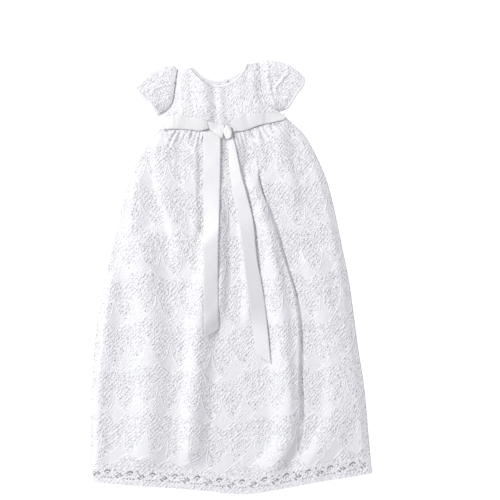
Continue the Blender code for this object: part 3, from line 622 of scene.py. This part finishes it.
class Shader:
    """A small helper that writes a material's node formulas."""

    def __init__(self, name):
        self.material = bpy.data.materials.new(name)
        self.material.use_nodes = True
        self.nodes = self.material.node_tree.nodes
        self.surface = self.nodes["Principled BSDF"]

    def put(self, node, inputs):
        for place, value in inputs.items():
            if isinstance(value, Value):
                self.material.node_tree.links.new(value.socket, node.inputs[place])
            else:
                node.inputs[place].default_value = value

    def node(self, kind, inputs, output=0, **settings):
        """A new node with its settings and inputs; one of its outputs is the value."""
        made = self.nodes.new("ShaderNode" + kind)
        for name, setting in settings.items():
            setattr(made, name, setting)
        self.put(made, inputs)
        return Value(self, made.outputs[output])

    def math(self, operation, *values):
        return self.node("Math", dict(enumerate(values)), operation=operation)

    def most(self, first, *others):
        """The largest of the values."""
        for other in others:
            first = self.math("MAXIMUM", first, other)
        return first

    def ramp(self, value, low, high, start=0.0, end=1.0):
        """A smooth change from start to end as the value goes from low to high."""
        names = ("Value", "From Min", "From Max", "To Min", "To Max")
        inputs = dict(zip(names, (value, low, high, start, end)))
        return self.node("MapRange", inputs, interpolation_type="SMOOTHSTEP")

    def stroke(self, distance, full, edge):
        """A line's strength: 1 up to the full distance from it, and 0 from the edge on."""
        return self.ramp(abs(distance), full, edge, 1.0, 0.0)

    def cloth(self):
        """Flat coordinates in mm, across the cloth and down it."""
        flat = self.node("UVMap", {}, uv_map="cloth")
        return [self.node("SeparateXYZ", {0: flat}, axis) * CLOTH_UNIT for axis in (0, 1)]

    def table(self, value, points):
        """A curve through points from 0 to 1, straight between them."""
        node = self.nodes.new("ShaderNodeFloatCurve")
        line = node.mapping.curves[0]
        line.points[0].location = points[0]
        line.points[1].location = (1.0, points[-1][1])
        for point in points[1:]:
            line.points.new(*point)
        for point in line.points:
            point.handle_type = "VECTOR"
        node.mapping.update()
        self.put(node, {"Value": value})
        return Value(self, node.outputs[0])

    def vector(self, across, down):
        return self.node("CombineXYZ", {0: across, 1: down})

    def cell_noise(self, across, down):
        """A different value from 0 to 1 for each cell of a net."""
        return self.node("TexWhiteNoise", {"Vector": self.vector(across, down)}, noise_dimensions="2D")

    def noise(self, scale, detail, vector=None):
        place = self.node("TexCoord", {}, "Object") if vector is None else vector
        return self.node("TexNoise", {"Scale": scale, "Detail": detail, "Vector": place})

    def mix(self, factor, a, b):
        return self.node("Mix", {0: factor, 6: a, 7: b}, 2, data_type="RGBA")

    def finish(self, colour, height, depth, roughness, sheen, gloss):
        """The material with its colour and its relief, of this depth in mm."""
        normal = self.node("Bump", {"Distance": depth * MM, "Height": height})
        self.put(self.surface, {
            "Normal": normal, "Base Color": colour, "Roughness": roughness,
            "Sheen Weight": sheen, "Specular IOR Level": gloss})
        return self.material


def lace_net(g, s, t):
    """An uneven net of diagonals: the grain of its threads, its knots and its eyelets."""
    jitter = g.noise(150.0, 2.0) * 9.0 - 4.5
    net_s = s + (g.noise(60.0, 1.0) * 5.0 - 2.5) + jitter
    falling = (net_s + t) / NET_PITCH
    rising = (net_s - t - jitter) / NET_PITCH
    off_falling = abs(g.math("FRACT", falling) - 0.5)
    off_rising = abs(g.math("FRACT", rising) - 0.5)
    grain = g.most(g.ramp(off_falling, 0.22, 0.46), g.ramp(off_rising, 0.28, 0.48, 0.0, 0.85))
    lottery = g.cell_noise(g.math("FLOOR", falling), g.math("FLOOR", rising))
    eyelet = g.stroke(off_falling, 0.10, 0.24) * g.stroke(off_rising, 0.18, 0.34) * g.ramp(lottery, 0.45, 0.8)
    strokes = g.noise(1.0, 1.5, g.vector((s + t) / STROKE_WIDTH, (s - t) / STROKE_LENGTH))
    knots = g.most(g.ramp(strokes, 0.42, 0.60), g.ramp(g.noise(300.0, 2.0), 0.4, 0.7) * 0.7)
    return grain, knots, eyelet


def net_material(name):
    g = Shader(name)
    grain, knots, eyelet = lace_net(g, *g.cloth())
    # Painted shade: the eyelets are mixed towards SHADE_COLOUR, for the shade inside them.
    colour = g.mix(eyelet * 0.4, NET_COLOUR, SHADE_COLOUR)
    return g.finish(colour, grain * 0.4 + knots * 0.9 - eyelet * 0.5, NET_RELIEF, *LACE_FINISH)


def leaf_material(name):
    """Corded lace: leaves in half drop with a net inside them, and smooth drops of ground between them."""
    g = Shader(name)
    s, t = g.cloth()
    grain, knots, eyelet = lace_net(g, s, t)
    t = t + PATTERN_START
    for tall, length, phase in ROW_WAVES:
        t = t + g.math("SINE", s * (1 / length) + phase) * tall
    down = t / REPEAT_LENGTH
    odd = g.math("MODULO", g.math("FLOOR", down), 2.0)
    x = (g.math("FRACT", s / REPEAT_WIDTH + odd * 0.5 + 0.5) - 0.5) * REPEAT_WIDTH
    up = 1.0 - g.math("FRACT", down)
    y = up * REPEAT_LENGTH
    half = REPEAT_WIDTH / 2
    out = abs(x) - g.table(up, LEAF_EDGE) * half
    low = g.ramp(up, LEAF_TOP, LEAF_TOP + 0.03, 1.0, 0.0)
    foot = ((REPEAT_LENGTH - y) / DROP_FOOT) ** 1.6 * -half + half - abs(x)
    smooth = g.ramp(g.noise(22.0, 1.0), 0.35, 0.6, 0.45, 0.9)
    ground = g.most(g.ramp(out, 0.3, 1.3) * low, g.ramp(foot, 0.0, 3.0)) * smooth
    outline = g.stroke(out, 0.5, 1.3) * low
    inner = g.stroke(out + 4.0, 0.4, 1.1) * low * g.ramp(up, 0.06, 0.10)
    crossed = g.stroke(y - (REPEAT_LENGTH - half) - abs(x), 0.6, 1.6) * g.ramp(up, 0.84, 0.90)
    rise = y - RING_RISE
    ring = g.math("SQRT", x * x + rise * rise)
    hole = g.stroke(ring, 0.8, 1.7)
    rim = g.stroke(ring - RING_RADIUS, 0.5, 1.1)
    net = (1.0 - ground) * g.ramp(ring, 3.4, 6.0, 0.25, 1.0)
    cords = g.most(outline, crossed, rim * 0.8, inner * 0.45)
    # Eyelets and the ring's hole, sunk in the relief and painted with shade colour below.
    shaded_holes = g.most(eyelet * net * 0.6, hole) * (1.0 - cords)
    relief = g.most(cords * 1.15, (grain * 0.5 + knots * 0.95) * net)
    height = relief - shaded_holes * 0.6 + g.noise(900.0, 2.0) * 0.12
    colour = g.mix(ground, LACE_COLOUR, GROUND_COLOUR)
    colour = g.mix(cords * 0.8, colour, CORD_COLOUR)
    # Painted shade: the eyelets and holes are mixed towards SHADE_COLOUR.
    colour = g.mix(shaded_holes * 0.8, colour, SHADE_COLOUR)
    return g.finish(colour, height, LEAF_RELIEF, *LACE_FINISH)


def shades(colour, share):
    """A colour and a darker one, with their alpha."""
    return (*colour, 1), (*(share * c for c in colour), 1)


def satin_material(name, colour, roughness, rib=0.0, selvedge=False):
    """Smooth satin, with fine ribs across a ribbon and a line of stitches inside each selvedge."""
    g = Shader(name)
    s, t = g.cloth()
    height = g.math("SINE", s * (2 * math.pi / RIB_PITCH)) * rib + g.noise(60.0, 3.0) * 0.5
    if selvedge:
        height = height - g.stroke(abs(t) - SELVEDGE, 0.2, 0.6) * 0.5
    # Painted sheen: random patches a little darker, up to about 2.5 %, stand in for the satin's changing
    # reflection.
    tint = g.mix(g.ramp(g.noise(18.0, 2.0), 0.3, 0.7, 0.0, 0.35), *shades(colour, 0.93))
    return g.finish(tint, height, 0.25, roughness, 0.15, 0.4)


def plain_material(name, colour, roughness):
    g = Shader(name)
    tint = g.mix(g.ramp(g.noise(300.0, 2.0), 0.3, 0.7, 0.0, 0.2), *shades(colour, 0.9))
    return g.finish(tint, g.noise(1500.0, 2.0), 0.1, roughness, 0.0, 0.4)


lace = leaf_material("lace")
net_lace = net_material("net_lace")
satin = satin_material("satin_lining", (0.90, 0.90, 0.92), 0.5)
ribbon_satin = satin_material("ribbon_satin", (0.868, 0.865, 0.866), 0.45, 0.12, True)
binding_satin = satin_material("binding_satin", (0.90, 0.90, 0.91), 0.45, 0.1)
thread = plain_material("thread", (0.93, 0.93, 0.94), 0.6)


# The skirt


def skirt_grid(columns, rows, first, last, inset, height, power=1.0, pleated=False):
    """Points and flat coordinates of a skirt panel between two shares of its length."""
    v = (first + (last - first) * np.linspace(0, 1, rows) ** power)[:, None]
    width = skirt_width(v)
    inner = width - 2 * inset
    edge = EDGE_ROLL * np.linspace(0, 1, EDGE_COLUMNS, endpoint=False) ** 2
    middle = EDGE_ROLL + (inner - 2 * EDGE_ROLL) * np.linspace(0, 1, columns - 2 * EDGE_COLUMNS)
    aside = np.hstack([np.broadcast_to(edge, (rows, EDGE_COLUMNS)), middle, inner - edge[::-1]])
    u = (inset + aside) / width
    if pleated:
        u = pleat_columns(u, v, width)
    v = np.broadcast_to(v, u.shape)
    plan = skirt_plan(u, v)
    points = raised(plan, height(u, v))
    if pleated:
        points[..., 0] -= pleat_tuck(plan[..., 0], plan[..., 1])
    return points, cloth_coordinates(points, v[:, :1] * SKIRT_LENGTH)


def pleat_columns(u, v, width):
    """Moves the grid's columns so that two of them keep to the pleat's line, one on each side of its step."""
    share = np.full_like(v, PLEAT_COLUMN_SHARE)
    for _ in range(4):
        found = skirt_plan(share, v)
        share = share + (crest_x(PLEAT_LINE, found[..., 1]) - found[..., 0]) / width
    column = int(PLEAT_COLUMN_SHARE * u.shape[1])
    left, right = u[:, :column], u[:, column:]
    left = left * (share - PLEAT_STEP / width) / left[:, -1:]
    right = share + (right - right[:, :1]) / (right[:, -1:] - right[:, :1]) * (right[:, -1:] - share)
    return np.hstack([left, right])


columns, rows = ((270, 290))
skirt_points, cloth = skirt_grid(columns, rows, 0.0, BORDER_SHARE, LACE, skirt_outer, 1.15, True)
skirt_front = add_piece("skirt_front_lace", grid_mesh(skirt_points, cloth), lace, "skirt_front")

paths = lace_paths(Panel(skirt_points, cloth), 0.1, (0.0, -PATTERN_START))
add_piece("skirt_front_cords", ridge_mesh(paths, 1.05, 0.7), thread)

points, cloth = skirt_grid(120, 160, 0.0, BORDER_SHARE, 0.0, back_height)
skirt_back = add_piece("skirt_back_lace", grid_mesh(points, cloth), lace, "skirt_back", LACE)


def lining(node, height):
    first, last = LINING_START / SKIRT_LENGTH, 1 - (BORDER_DEPTH - LINING_OVERLAP) / SKIRT_LENGTH
    points, cloth = skirt_grid(70, 80, first, last, LINING_INSET, height)
    made = add_piece(node + "_satin", grid_mesh(points, cloth), satin, node, SATIN)


lining("lining_front", lambda u, v: lining_height(u, v) + SATIN)
lining("lining_back", lambda u, v: back_height(u, v) + SEAM + SATIN)


# The cutwork border

BORDER_REPEAT, BORDER_END = 36.0, 6.0
BORDER_WALL = 0.9
DIAMOND_MIDDLE, DIAMOND_WIDE, DIAMOND_TALL = 14.3, 7.2, 5.4
ARCH_FOOT, ARCH_INNER, ARCH_OUTER = 16.6, 3.7, 5.9
EYELET_RADIUS = 1.4
ZIGZAG_HEIGHT, ZIGZAG_MIDDLE = 9.4, 5.0


def border_gaps(s, up):
    """Where the border is cut away: ringed diamonds with arches between them, and their eyelets."""
    x = ((s / BORDER_REPEAT + 0.5) % 1.0 - 0.5) * BORDER_REPEAT
    aside, far = np.abs(x), BORDER_REPEAT / 2 - np.abs(x)
    diamond = aside / DIAMOND_WIDE + np.abs(up - DIAMOND_MIDDLE) / DIAMOND_TALL
    gap = (diamond < 1.05) & (diamond > 0.56) & ~((aside < 1.5) & (up > DIAMOND_MIDDLE))
    gap |= np.hypot(x, up - DIAMOND_MIDDLE) < EYELET_RADIUS
    gap |= np.hypot(aside - 6.2, up - 22.0) < EYELET_RADIUS
    arch = np.hypot(far, up - ARCH_FOOT)
    gap |= (arch < ARCH_OUTER) & (arch > ARCH_INNER) & (up > ARCH_FOOT + 0.2)
    gap |= arch < 1.5
    beside = np.abs(far - ZIGZAG_MIDDLE)
    zigzag = np.abs(up - ZIGZAG_HEIGHT - 0.9 * np.abs(beside - 2.5) / 2.5)
    gap |= (zigzag < 0.75) & (beside < 4.2) & (beside > 0.8)
    return gap


def border(node, height, inset, stagger):
    """A border with its gaps, which end a little before its sides."""
    columns, rows = ((620, 37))
    points, cloth = skirt_grid(columns, rows, BORDER_SHARE, 1.0, inset, height, pleated=inset > 0)
    centre = (cloth[:-1, :-1] + cloth[1:, 1:]) / 2
    s, up = centre[..., 0], SKIRT_LENGTH - centre[..., 1]
    keep = ~(border_gaps(s + stagger, up) & (np.abs(s) < cloth[0, -1, 0] - BORDER_END))
    mesh = grid_mesh(points, cloth, keep=keep)
    made = add_piece(node + "_lace", mesh, net_lace, node, BORDER_WALL)


border("border_front", skirt_outer, LACE, 0.0)
border("border_back", lambda u, v: 0.0 * u + LACE, 0.0, BORDER_REPEAT / 3)


# The bodice


TOP_EDGE_SHARES = (0.2, 0.6, 0.2)
SIDE_EDGE_SHARES = (0.75, 0.25)
BODICE_LENGTH = 100.0


def bodice_plan(neck):
    inner = offset_curve(neck, NECK_BINDING_WIDTH)
    shoulders = smooth_curve((SHOULDER_LEFT[0], inner(0.0))), smooth_curve((inner(1.0), SHOULDER_RIGHT[1]))
    top = joined([shoulders[0], inner, shoulders[1]], TOP_EDGE_SHARES)
    waist = [(x, y + SEAM) for x, y in WAIST]
    sides = [joined([smooth_curve(armhole), smooth_curve((armhole[-1], end))], SIDE_EDGE_SHARES)
             for armhole, end in ((ARMHOLE_LEFT, waist[0]), (ARMHOLE_RIGHT, waist[-1]))]
    return coons(top, smooth_curve(waist), *sides)


u, v = np.meshgrid(np.linspace(0, 1, 200), np.linspace(0, 1, 120))
plan = bodice_plan(NECK_FRONT)
place = plan(u, v)
aside = np.minimum(u, 1 - u) * width_at(plan, v[:, :1])
above_waist = np.linalg.norm(place[-1:] - place, axis=-1)
gathers = 0.9 * uneven_gathers(20, u, above_waist * 1.5, 2) * smoothstep(3, 12, aside)
bodice_points = raised(place, bodice_height(place, aside) + BODICE + gathers)
cloth = cloth_coordinates(bodice_points, v[:, :1] * BODICE_LENGTH)
mesh = grid_mesh(bodice_points, cloth)
bodice_front = add_piece("bodice_front_lace", mesh, net_lace, "bodice_front", BODICE)
paths = lace_paths(Panel(bodice_points, cloth), 0.0, (8, 20))
add_piece("bodice_front_cords", ridge_mesh(paths, 0.9, 0.4), thread)

for node, first, last in (
        ("bodice_back_left", 0.0, CENTRE_BACK_SHARE), ("bodice_back_right", CENTRE_BACK_SHARE, 1.0)):
    u, v = np.meshgrid(np.linspace(first, last, 60), np.linspace(0, 1, 60))
    place = bodice_plan(NECK_BACK)(u, v)
    points = raised(place, over_band(place) + BODICE)
    mesh = grid_mesh(points, cloth_coordinates(points, v[:, :1] * BODICE_LENGTH))
    made = add_piece(node + "_lace", mesh, net_lace, node, BODICE)


# The sleeves


def sleeve_plan(top, cuff_edge, under, armhole, outward):
    armhole = offset_curve(armhole, -SEWN_GAP * outward)
    sides = [smooth_curve([armhole(end), *edge[1:]]) for end, edge in ((0.0, top), (1.0, under))]
    return coons(armhole, smooth_curve(cuff_edge), *sides)


def ring_profile(over, under, round_steps):
    """One round of a flattened tube: share across, side of the round, angle of the round and crown."""
    angle = np.linspace(-np.pi / 2, np.pi / 2, round_steps)
    zero, sine, inwards = 0 * angle, np.sin(angle), 1 - np.cos(angle)
    over, under = np.linspace(0, 1, over)[1:-1], np.linspace(1, 0, under)[1:-1]
    place = np.concatenate([zero, over, zero + 1, under])
    rise = np.concatenate([1 + sine, 0 * over + 2, 1 - sine, 0 * under])
    turn_in = np.concatenate([inwards, 0 * over + 1, inwards, 0 * under + 1])
    crown = np.concatenate([zero, np.sqrt(1 - np.abs(2 * over - 1)**6), zero, 0 * under])
    return place, rise, turn_in, crown


def sleeve_points(plan, v, radius, swell, side, seed):
    """Points of a sleeve, or of its cuff with more swell, at shares v down from the armhole."""
    place, rise, turn_in, crown = SLEEVE_ROUND
    puff = PUFFS[side]
    length, width = length_at(plan, place), width_at(plan, v[:, :1])
    u, v = np.broadcast_arrays(place, v)
    point = plan(np.clip(u + turn_in * (1 - 2 * u) * radius / width, 0, 1), v)
    fullness = np.minimum(1, length / PUFF_LENGTH)
    height = puff.cuff + (puff.middle - puff.cuff) * fullness * (1 - v**2) - 2 * radius
    height -= (puff.middle - puff.armhole) * np.exp(-v * length / puff.rise)
    height -= puff.fall * smoothstep(0.1, 0.6, u)
    head = 1.4 * uneven_gathers(9, u, 60 * v, seed) * fullness
    hand = 1.3 * uneven_gathers(9, u, 60 * (1.0 - v), seed + 3) * fullness
    x, y = point[..., 0], point[..., 1]
    fine = 0.5 * rumple(x, y, 11, seed + 9) + fold_height(SLEEVE_CREASES[side], x, y)
    return raised(point, rise * radius + (height + (head + hand + fine) + swell) * crown)


def round_mesh(points, depth, outward):
    """A closed tube of cloth, this deep from its first row to its last."""
    rows = np.linspace(0, depth, len(points))[:, None]
    cloth = cloth_coordinates(np.concatenate([points, points[:, :1]], 1), rows)[:, :-1]
    return grid_mesh(points, cloth, closed=True, turned=outward > 0)


SLEEVE_CREASES = {
    "left": (Fold(0.7, 8, 0, 12, ((-108, 322), (-124, 300), (-128, 284))),),
    "right": (
        Fold(1.8, 5, 0, 5, ((90, 324), (84, 318), (72, 304))),
        Fold(1.6, 5, 0, 6, ((58, 318), (64, 290), (70, 276)))),
}
SLEEVE_ROUND = ring_profile(90, 50, 7)
for side, outward in (("left", -1), ("right", 1)):
    plan = sleeve_plan(*SLEEVES[side], outward)
    last = 1 - (CUFF_WIDTH + SEWN_GAP) / length_at(plan, SLEEVE_ROUND[0])
    v = np.linspace(0, 1, 60)[:, None] * last
    points = sleeve_points(plan, v, SLEEVE_FOLD_RADIUS, 0.0, side, 2 + outward)
    mesh = round_mesh(points, 60, outward)
    made = add_piece("sleeve_" + side + "_lace", mesh, net_lace, "sleeve_" + side, 1.0)
    v = last + (1 - last) * np.linspace(0, 1, 7)[:, None]
    points = sleeve_points(plan, v, CUFF_FOLD_RADIUS, CUFF_SWELL, side, 2 + outward)
    points[..., 2] += CUFF_ROUND * np.sin(np.linspace(0, np.pi, 7))[:, None] * (SLEEVE_ROUND[1] > 1)
    mesh = round_mesh(points, CUFF_WIDTH, outward)
    made = add_piece("cuff_" + side + "_binding", mesh, binding_satin, "cuff_" + side, 1.2)


# The neck binding


BINDING_ROUND = 0.5
for side, neck in (("front", NECK_FRONT), ("back", NECK_BACK)):
    u, v = np.meshgrid(np.linspace(0, 1, 120), np.linspace(0, 1, 9))
    place = ruled(smooth_curve(neck), offset_curve(neck, NECK_BINDING_WIDTH), u, v)
    low = 0 * u
    if side == "front":
        low = np.maximum(BINDING + SEAM, bodice_height(place, NECK_BINDING_WIDTH))
    points = raised(place, low + BINDING - BINDING_ROUND + BINDING_ROUND * np.sin(np.pi * v) ** 0.5)
    mesh = grid_mesh(points, cloth_coordinates(points, v[:, :1] * NECK_BINDING_WIDTH))
    node = "neck_binding_" + side
    made = add_piece(node + "_satin", mesh, binding_satin, node, 1.2)


# The sash


class Cover:
    """The highest cloth under each place, on a coarse map, for a ribbon to rest on."""

    CELL, ROWS, COLUMNS = 2.0, 360, 240

    def __init__(self):
        self.heights = np.zeros((self.ROWS, self.COLUMNS))

    def cells(self, place):
        """Row and column of a place; the map's middle is the origin."""
        return place[..., 1] / self.CELL + self.ROWS / 2, place[..., 0] / self.CELL + self.COLUMNS / 2

    def add(self, points):
        i, j = self.cells(points)
        i, j = np.clip(i.astype(int), 0, self.ROWS - 1), np.clip(j.astype(int), 0, self.COLUMNS - 1)
        np.maximum.at(self.heights, (i, j), points[..., 2])

    def bridged(self, reach):
        """The map after the ribbon's stiffness has bridged every hollow narrower than reach cells."""
        wide = self.heights.copy()
        for axis in (0, 1):
            wide = np.max([np.roll(wide, k, axis) for k in range(-reach, reach + 1)], axis=0)
        for axis in (0, 1):
            wide = np.mean([np.roll(wide, k, axis) for k in range(-reach + 1, reach)], axis=0)
        return wide

    def under(self, place, bridged):
        i, j = self.cells(place)
        return read_table(bridged, i - 0.5, j - 0.5)


cover = Cover()
cover.add(skirt_points)
cover.add(bodice_points)


def hanging(heights, reach):
    """Straight lines across a ribbon that lie on the cloth, tilted with it, and bridge hollows along it."""
    rows, columns = heights.shape
    w = np.linspace(-1, 1, rows)[:, None]
    slope = (heights * w).sum(0) / (w * w).sum()
    middle = (heights - slope * w).max(0)
    padded = np.pad(middle, reach, mode="edge")
    middle = np.max([padded[k:k + columns] for k in range(2 * reach + 1)], axis=0)
    window = np.hanning(2 * reach + 3)[1:-1]
    window /= window.sum()
    middle = np.convolve(np.pad(middle, reach, mode="edge"), window, "valid")
    slope = np.convolve(np.pad(slope, reach, mode="edge"), window, "valid")
    return np.maximum(middle + slope * w, heights)


def ribbon(node, edges, columns, rest, lift, creases, reach=0):
    """A length of satin ribbon between two edges; creases(u, v, place) adds its own shape."""
    u, v = np.meshgrid(np.linspace(0, 1, columns), np.linspace(0, 1, RIBBON_ROWS))
    place = ruled(*map(smooth_curve, edges), u, v)
    under = 0 * u if rest is None else cover.under(place, rest)
    if reach:
        under = hanging(under, reach)
    points = raised(place, under + lift + RIBBON + creases(u, v, place))
    half = RIBBON_WIDTH / 2
    cloth = cloth_coordinates(points, np.linspace(-half, half, RIBBON_ROWS)[:, None])
    turned = normals_of(points)[RIBBON_ROWS // 2, columns // 2, 2] < 0
    mesh = grid_mesh(points, cloth, turned=turned)
    made = add_piece(node + "_satin", mesh, ribbon_satin, node, RIBBON_WALL)


def sash_creases(sharp, sharp_reach, broad):
    """Creases of the sash beside its knot, highest at its upper edge; the sharp ones reach its lower edge."""
    return lambda u, v, place: (
        between(sharp, u) * (sharp_reach - v) + between(broad, u) * (1 - v) + 0.3 * np.sin(np.pi * v))


def tail_creases(turns, arch, arch_fade, seed):
    """A free end's slow turn about its length: its right edge up where turns is above 0, else its left."""

    def shape(u, v, place):
        tilt = between(turns, u)
        turn = np.maximum(tilt, 0) * v + np.maximum(-tilt, 0) * (1 - v)
        rounded = arch * np.sin(np.pi * v) * np.exp(-arch_fade * u)
        return turn + rounded + 0.35 * rumple(place[..., 0], place[..., 1], 14, seed)

    return shape


RIBBON_WIDTH, RIBBON_WALL, RIBBON_ROWS = 25.0, 0.6, 17
close_rest, loose_rest = cover.bridged(1), cover.bridged(3)
ribbon("sash_left", SASH_LEFT, 90, close_rest, -0.3, sash_creases(
    ((0, 0), (0.17, 0.9), (0.23, 3.0), (0.26, 1.9), (0.6, 0.4), (0.9, 1.2), (1, 0.2)), 1.1,
    ((0, 0), (0.22, 0.4), (0.3, 1.6), (0.7, 1.3), (1, 0))), 5)
ribbon("sash_right", SASH_RIGHT, 110, close_rest, -0.3, sash_creases(
    ((0, 3.4), (0.18, 2.6), (0.3, 0.6), (0.44, 1.2), (0.47, 1.2), (0.66, 0.2), (0.69, 0.6), (1, 0)), 1.15,
    ((0, 0), (0.5, 0), (0.68, 1.0), (1, 0.5))), 5)
ribbon("sash_back", SASH_BACK, 90, None, 0.0, lambda u, v, place: 0 * u)
ribbon("sash_fold", SASH_FOLD, 40, loose_rest, 1.8,
       lambda u, v, place: 1.0 * u + 1.8 * v + 0.6 * np.sin(np.pi * v))
ribbon("sash_knot", KNOT, 40, loose_rest, 3.4,
       lambda u, v, place: 2.6 * np.sin(np.pi * v) ** 0.5 - 1.1 * np.exp(-((v - 0.42) / 0.1) ** 2) * u)
ribbon("tail_left", TAIL_LEFT, 240, close_rest, -0.4, tail_creases(
    ((0, -1.2), (0.1, -1.6), (0.4, -1.4), (0.66, -0.8), (1, -1.4)), 0.2, 0.0, 21), 8)
ribbon("tail_right", TAIL_RIGHT, 260, close_rest, -0.4, tail_creases(
    ((0, 0.2), (0.4, 0.3), (0.5, -1.2), (0.75, -0.8), (0.85, 0.8), (1, 0.6)), 0.8, 5.0, 22), 8)


# The button


BUTTON_PROFILE = (
    (0.02, 0.0), (2.5, 0.0), (2.9, 0.5), (2.9, 1.3), (2.6, 1.9),
    (2.1, 1.9), (1.8, 1.5), (0.9, 1.4), (0.45, 1.4), (0.02, 1.4),
)


def lathe(profile, sides=40):
    """A round mesh about the z axis, from (radius, height) pairs."""
    turn = np.linspace(0, 2 * np.pi, sides, endpoint=False)
    radius, height = np.array(profile).T[..., None]
    points = np.stack([radius * np.cos(turn), radius * np.sin(turn), height + 0 * turn], -1)
    return grid_mesh(points, closed=True, turned=True)


pearl = plain_material("pearl", (0.88, 0.87, 0.84), 0.25)
button = add_piece("neck_button", lathe(BUTTON_PROFILE), pearl, "back_button")
button.location = Vector((*BUTTON_PLACE, BINDING + SEAM)) * MM


# Floor, light and camera

FLOOR_HALF, FLOOR_LEVEL = 6.0, -0.0002
floor_corners = [
    (x * FLOOR_HALF, y * FLOOR_HALF, FLOOR_LEVEL) for x, y in ((-1, -1), (1, -1), (1, 1), (-1, 1))]
floor_mesh = bpy.data.meshes.new("floor")
floor_mesh.from_pydata(floor_corners, [], [(0, 1, 2, 3)])
floor = new_object("floor", floor_mesh)
pale = Shader("pale_floor")
pale.put(pale.surface, {
    "Emission Color": (1, 1, 1, 1), "Emission Strength": 0.6,
    "Base Color": (0.9, 0.9, 0.9, 1), "Roughness": 0.9, "Specular IOR Level": 0.0})
floor_mesh.materials.append(pale.material)

for name, place, side, power, colour in (
        ("key", (-2.7, 1.5, 2.7), 1.6, 119, (0.985, 1.0, 0.985)),
        ("fill", (1.4, -0.6, 1.8), 2.0, 2, (0.93, 0.93, 1.0))):
    light = bpy.data.lights.new(name, "AREA")
    light.shape = "RECTANGLE"
    light.size, light.size_y = side, side
    light.energy = power
    light.color = colour
    lamp = new_object(name, light)
    lamp.location = place
    lamp.rotation_euler = (-Vector(place)).to_track_quat("-Z", "Y").to_euler()

world = bpy.data.worlds.new("studio")
bpy.context.scene.world = world
world.use_nodes = True
background = world.node_tree.nodes["Background"]
background.inputs[0].default_value = (0.93, 0.92, 0.99, 1)
background.inputs[1].default_value = 0.58
bpy.context.scene.view_settings.view_transform = "Standard"

# One pixel of the photo is 1.6 mm, so its frame is 800 mm wide where the gown lies, seen from straight above.
FRAME_WIDTH, FRAME_CENTRE, LENS, SENSOR, GOWN_LEVEL = 0.8, (0.030, 0.0424), 85.0, 36.0, 0.008
camera = new_object("camera", bpy.data.cameras.new("camera"))
camera.data.lens = LENS
camera.data.sensor_width = SENSOR
camera.location = (*FRAME_CENTRE, GOWN_LEVEL + FRAME_WIDTH * LENS / SENSOR)
bpy.context.scene.camera = camera
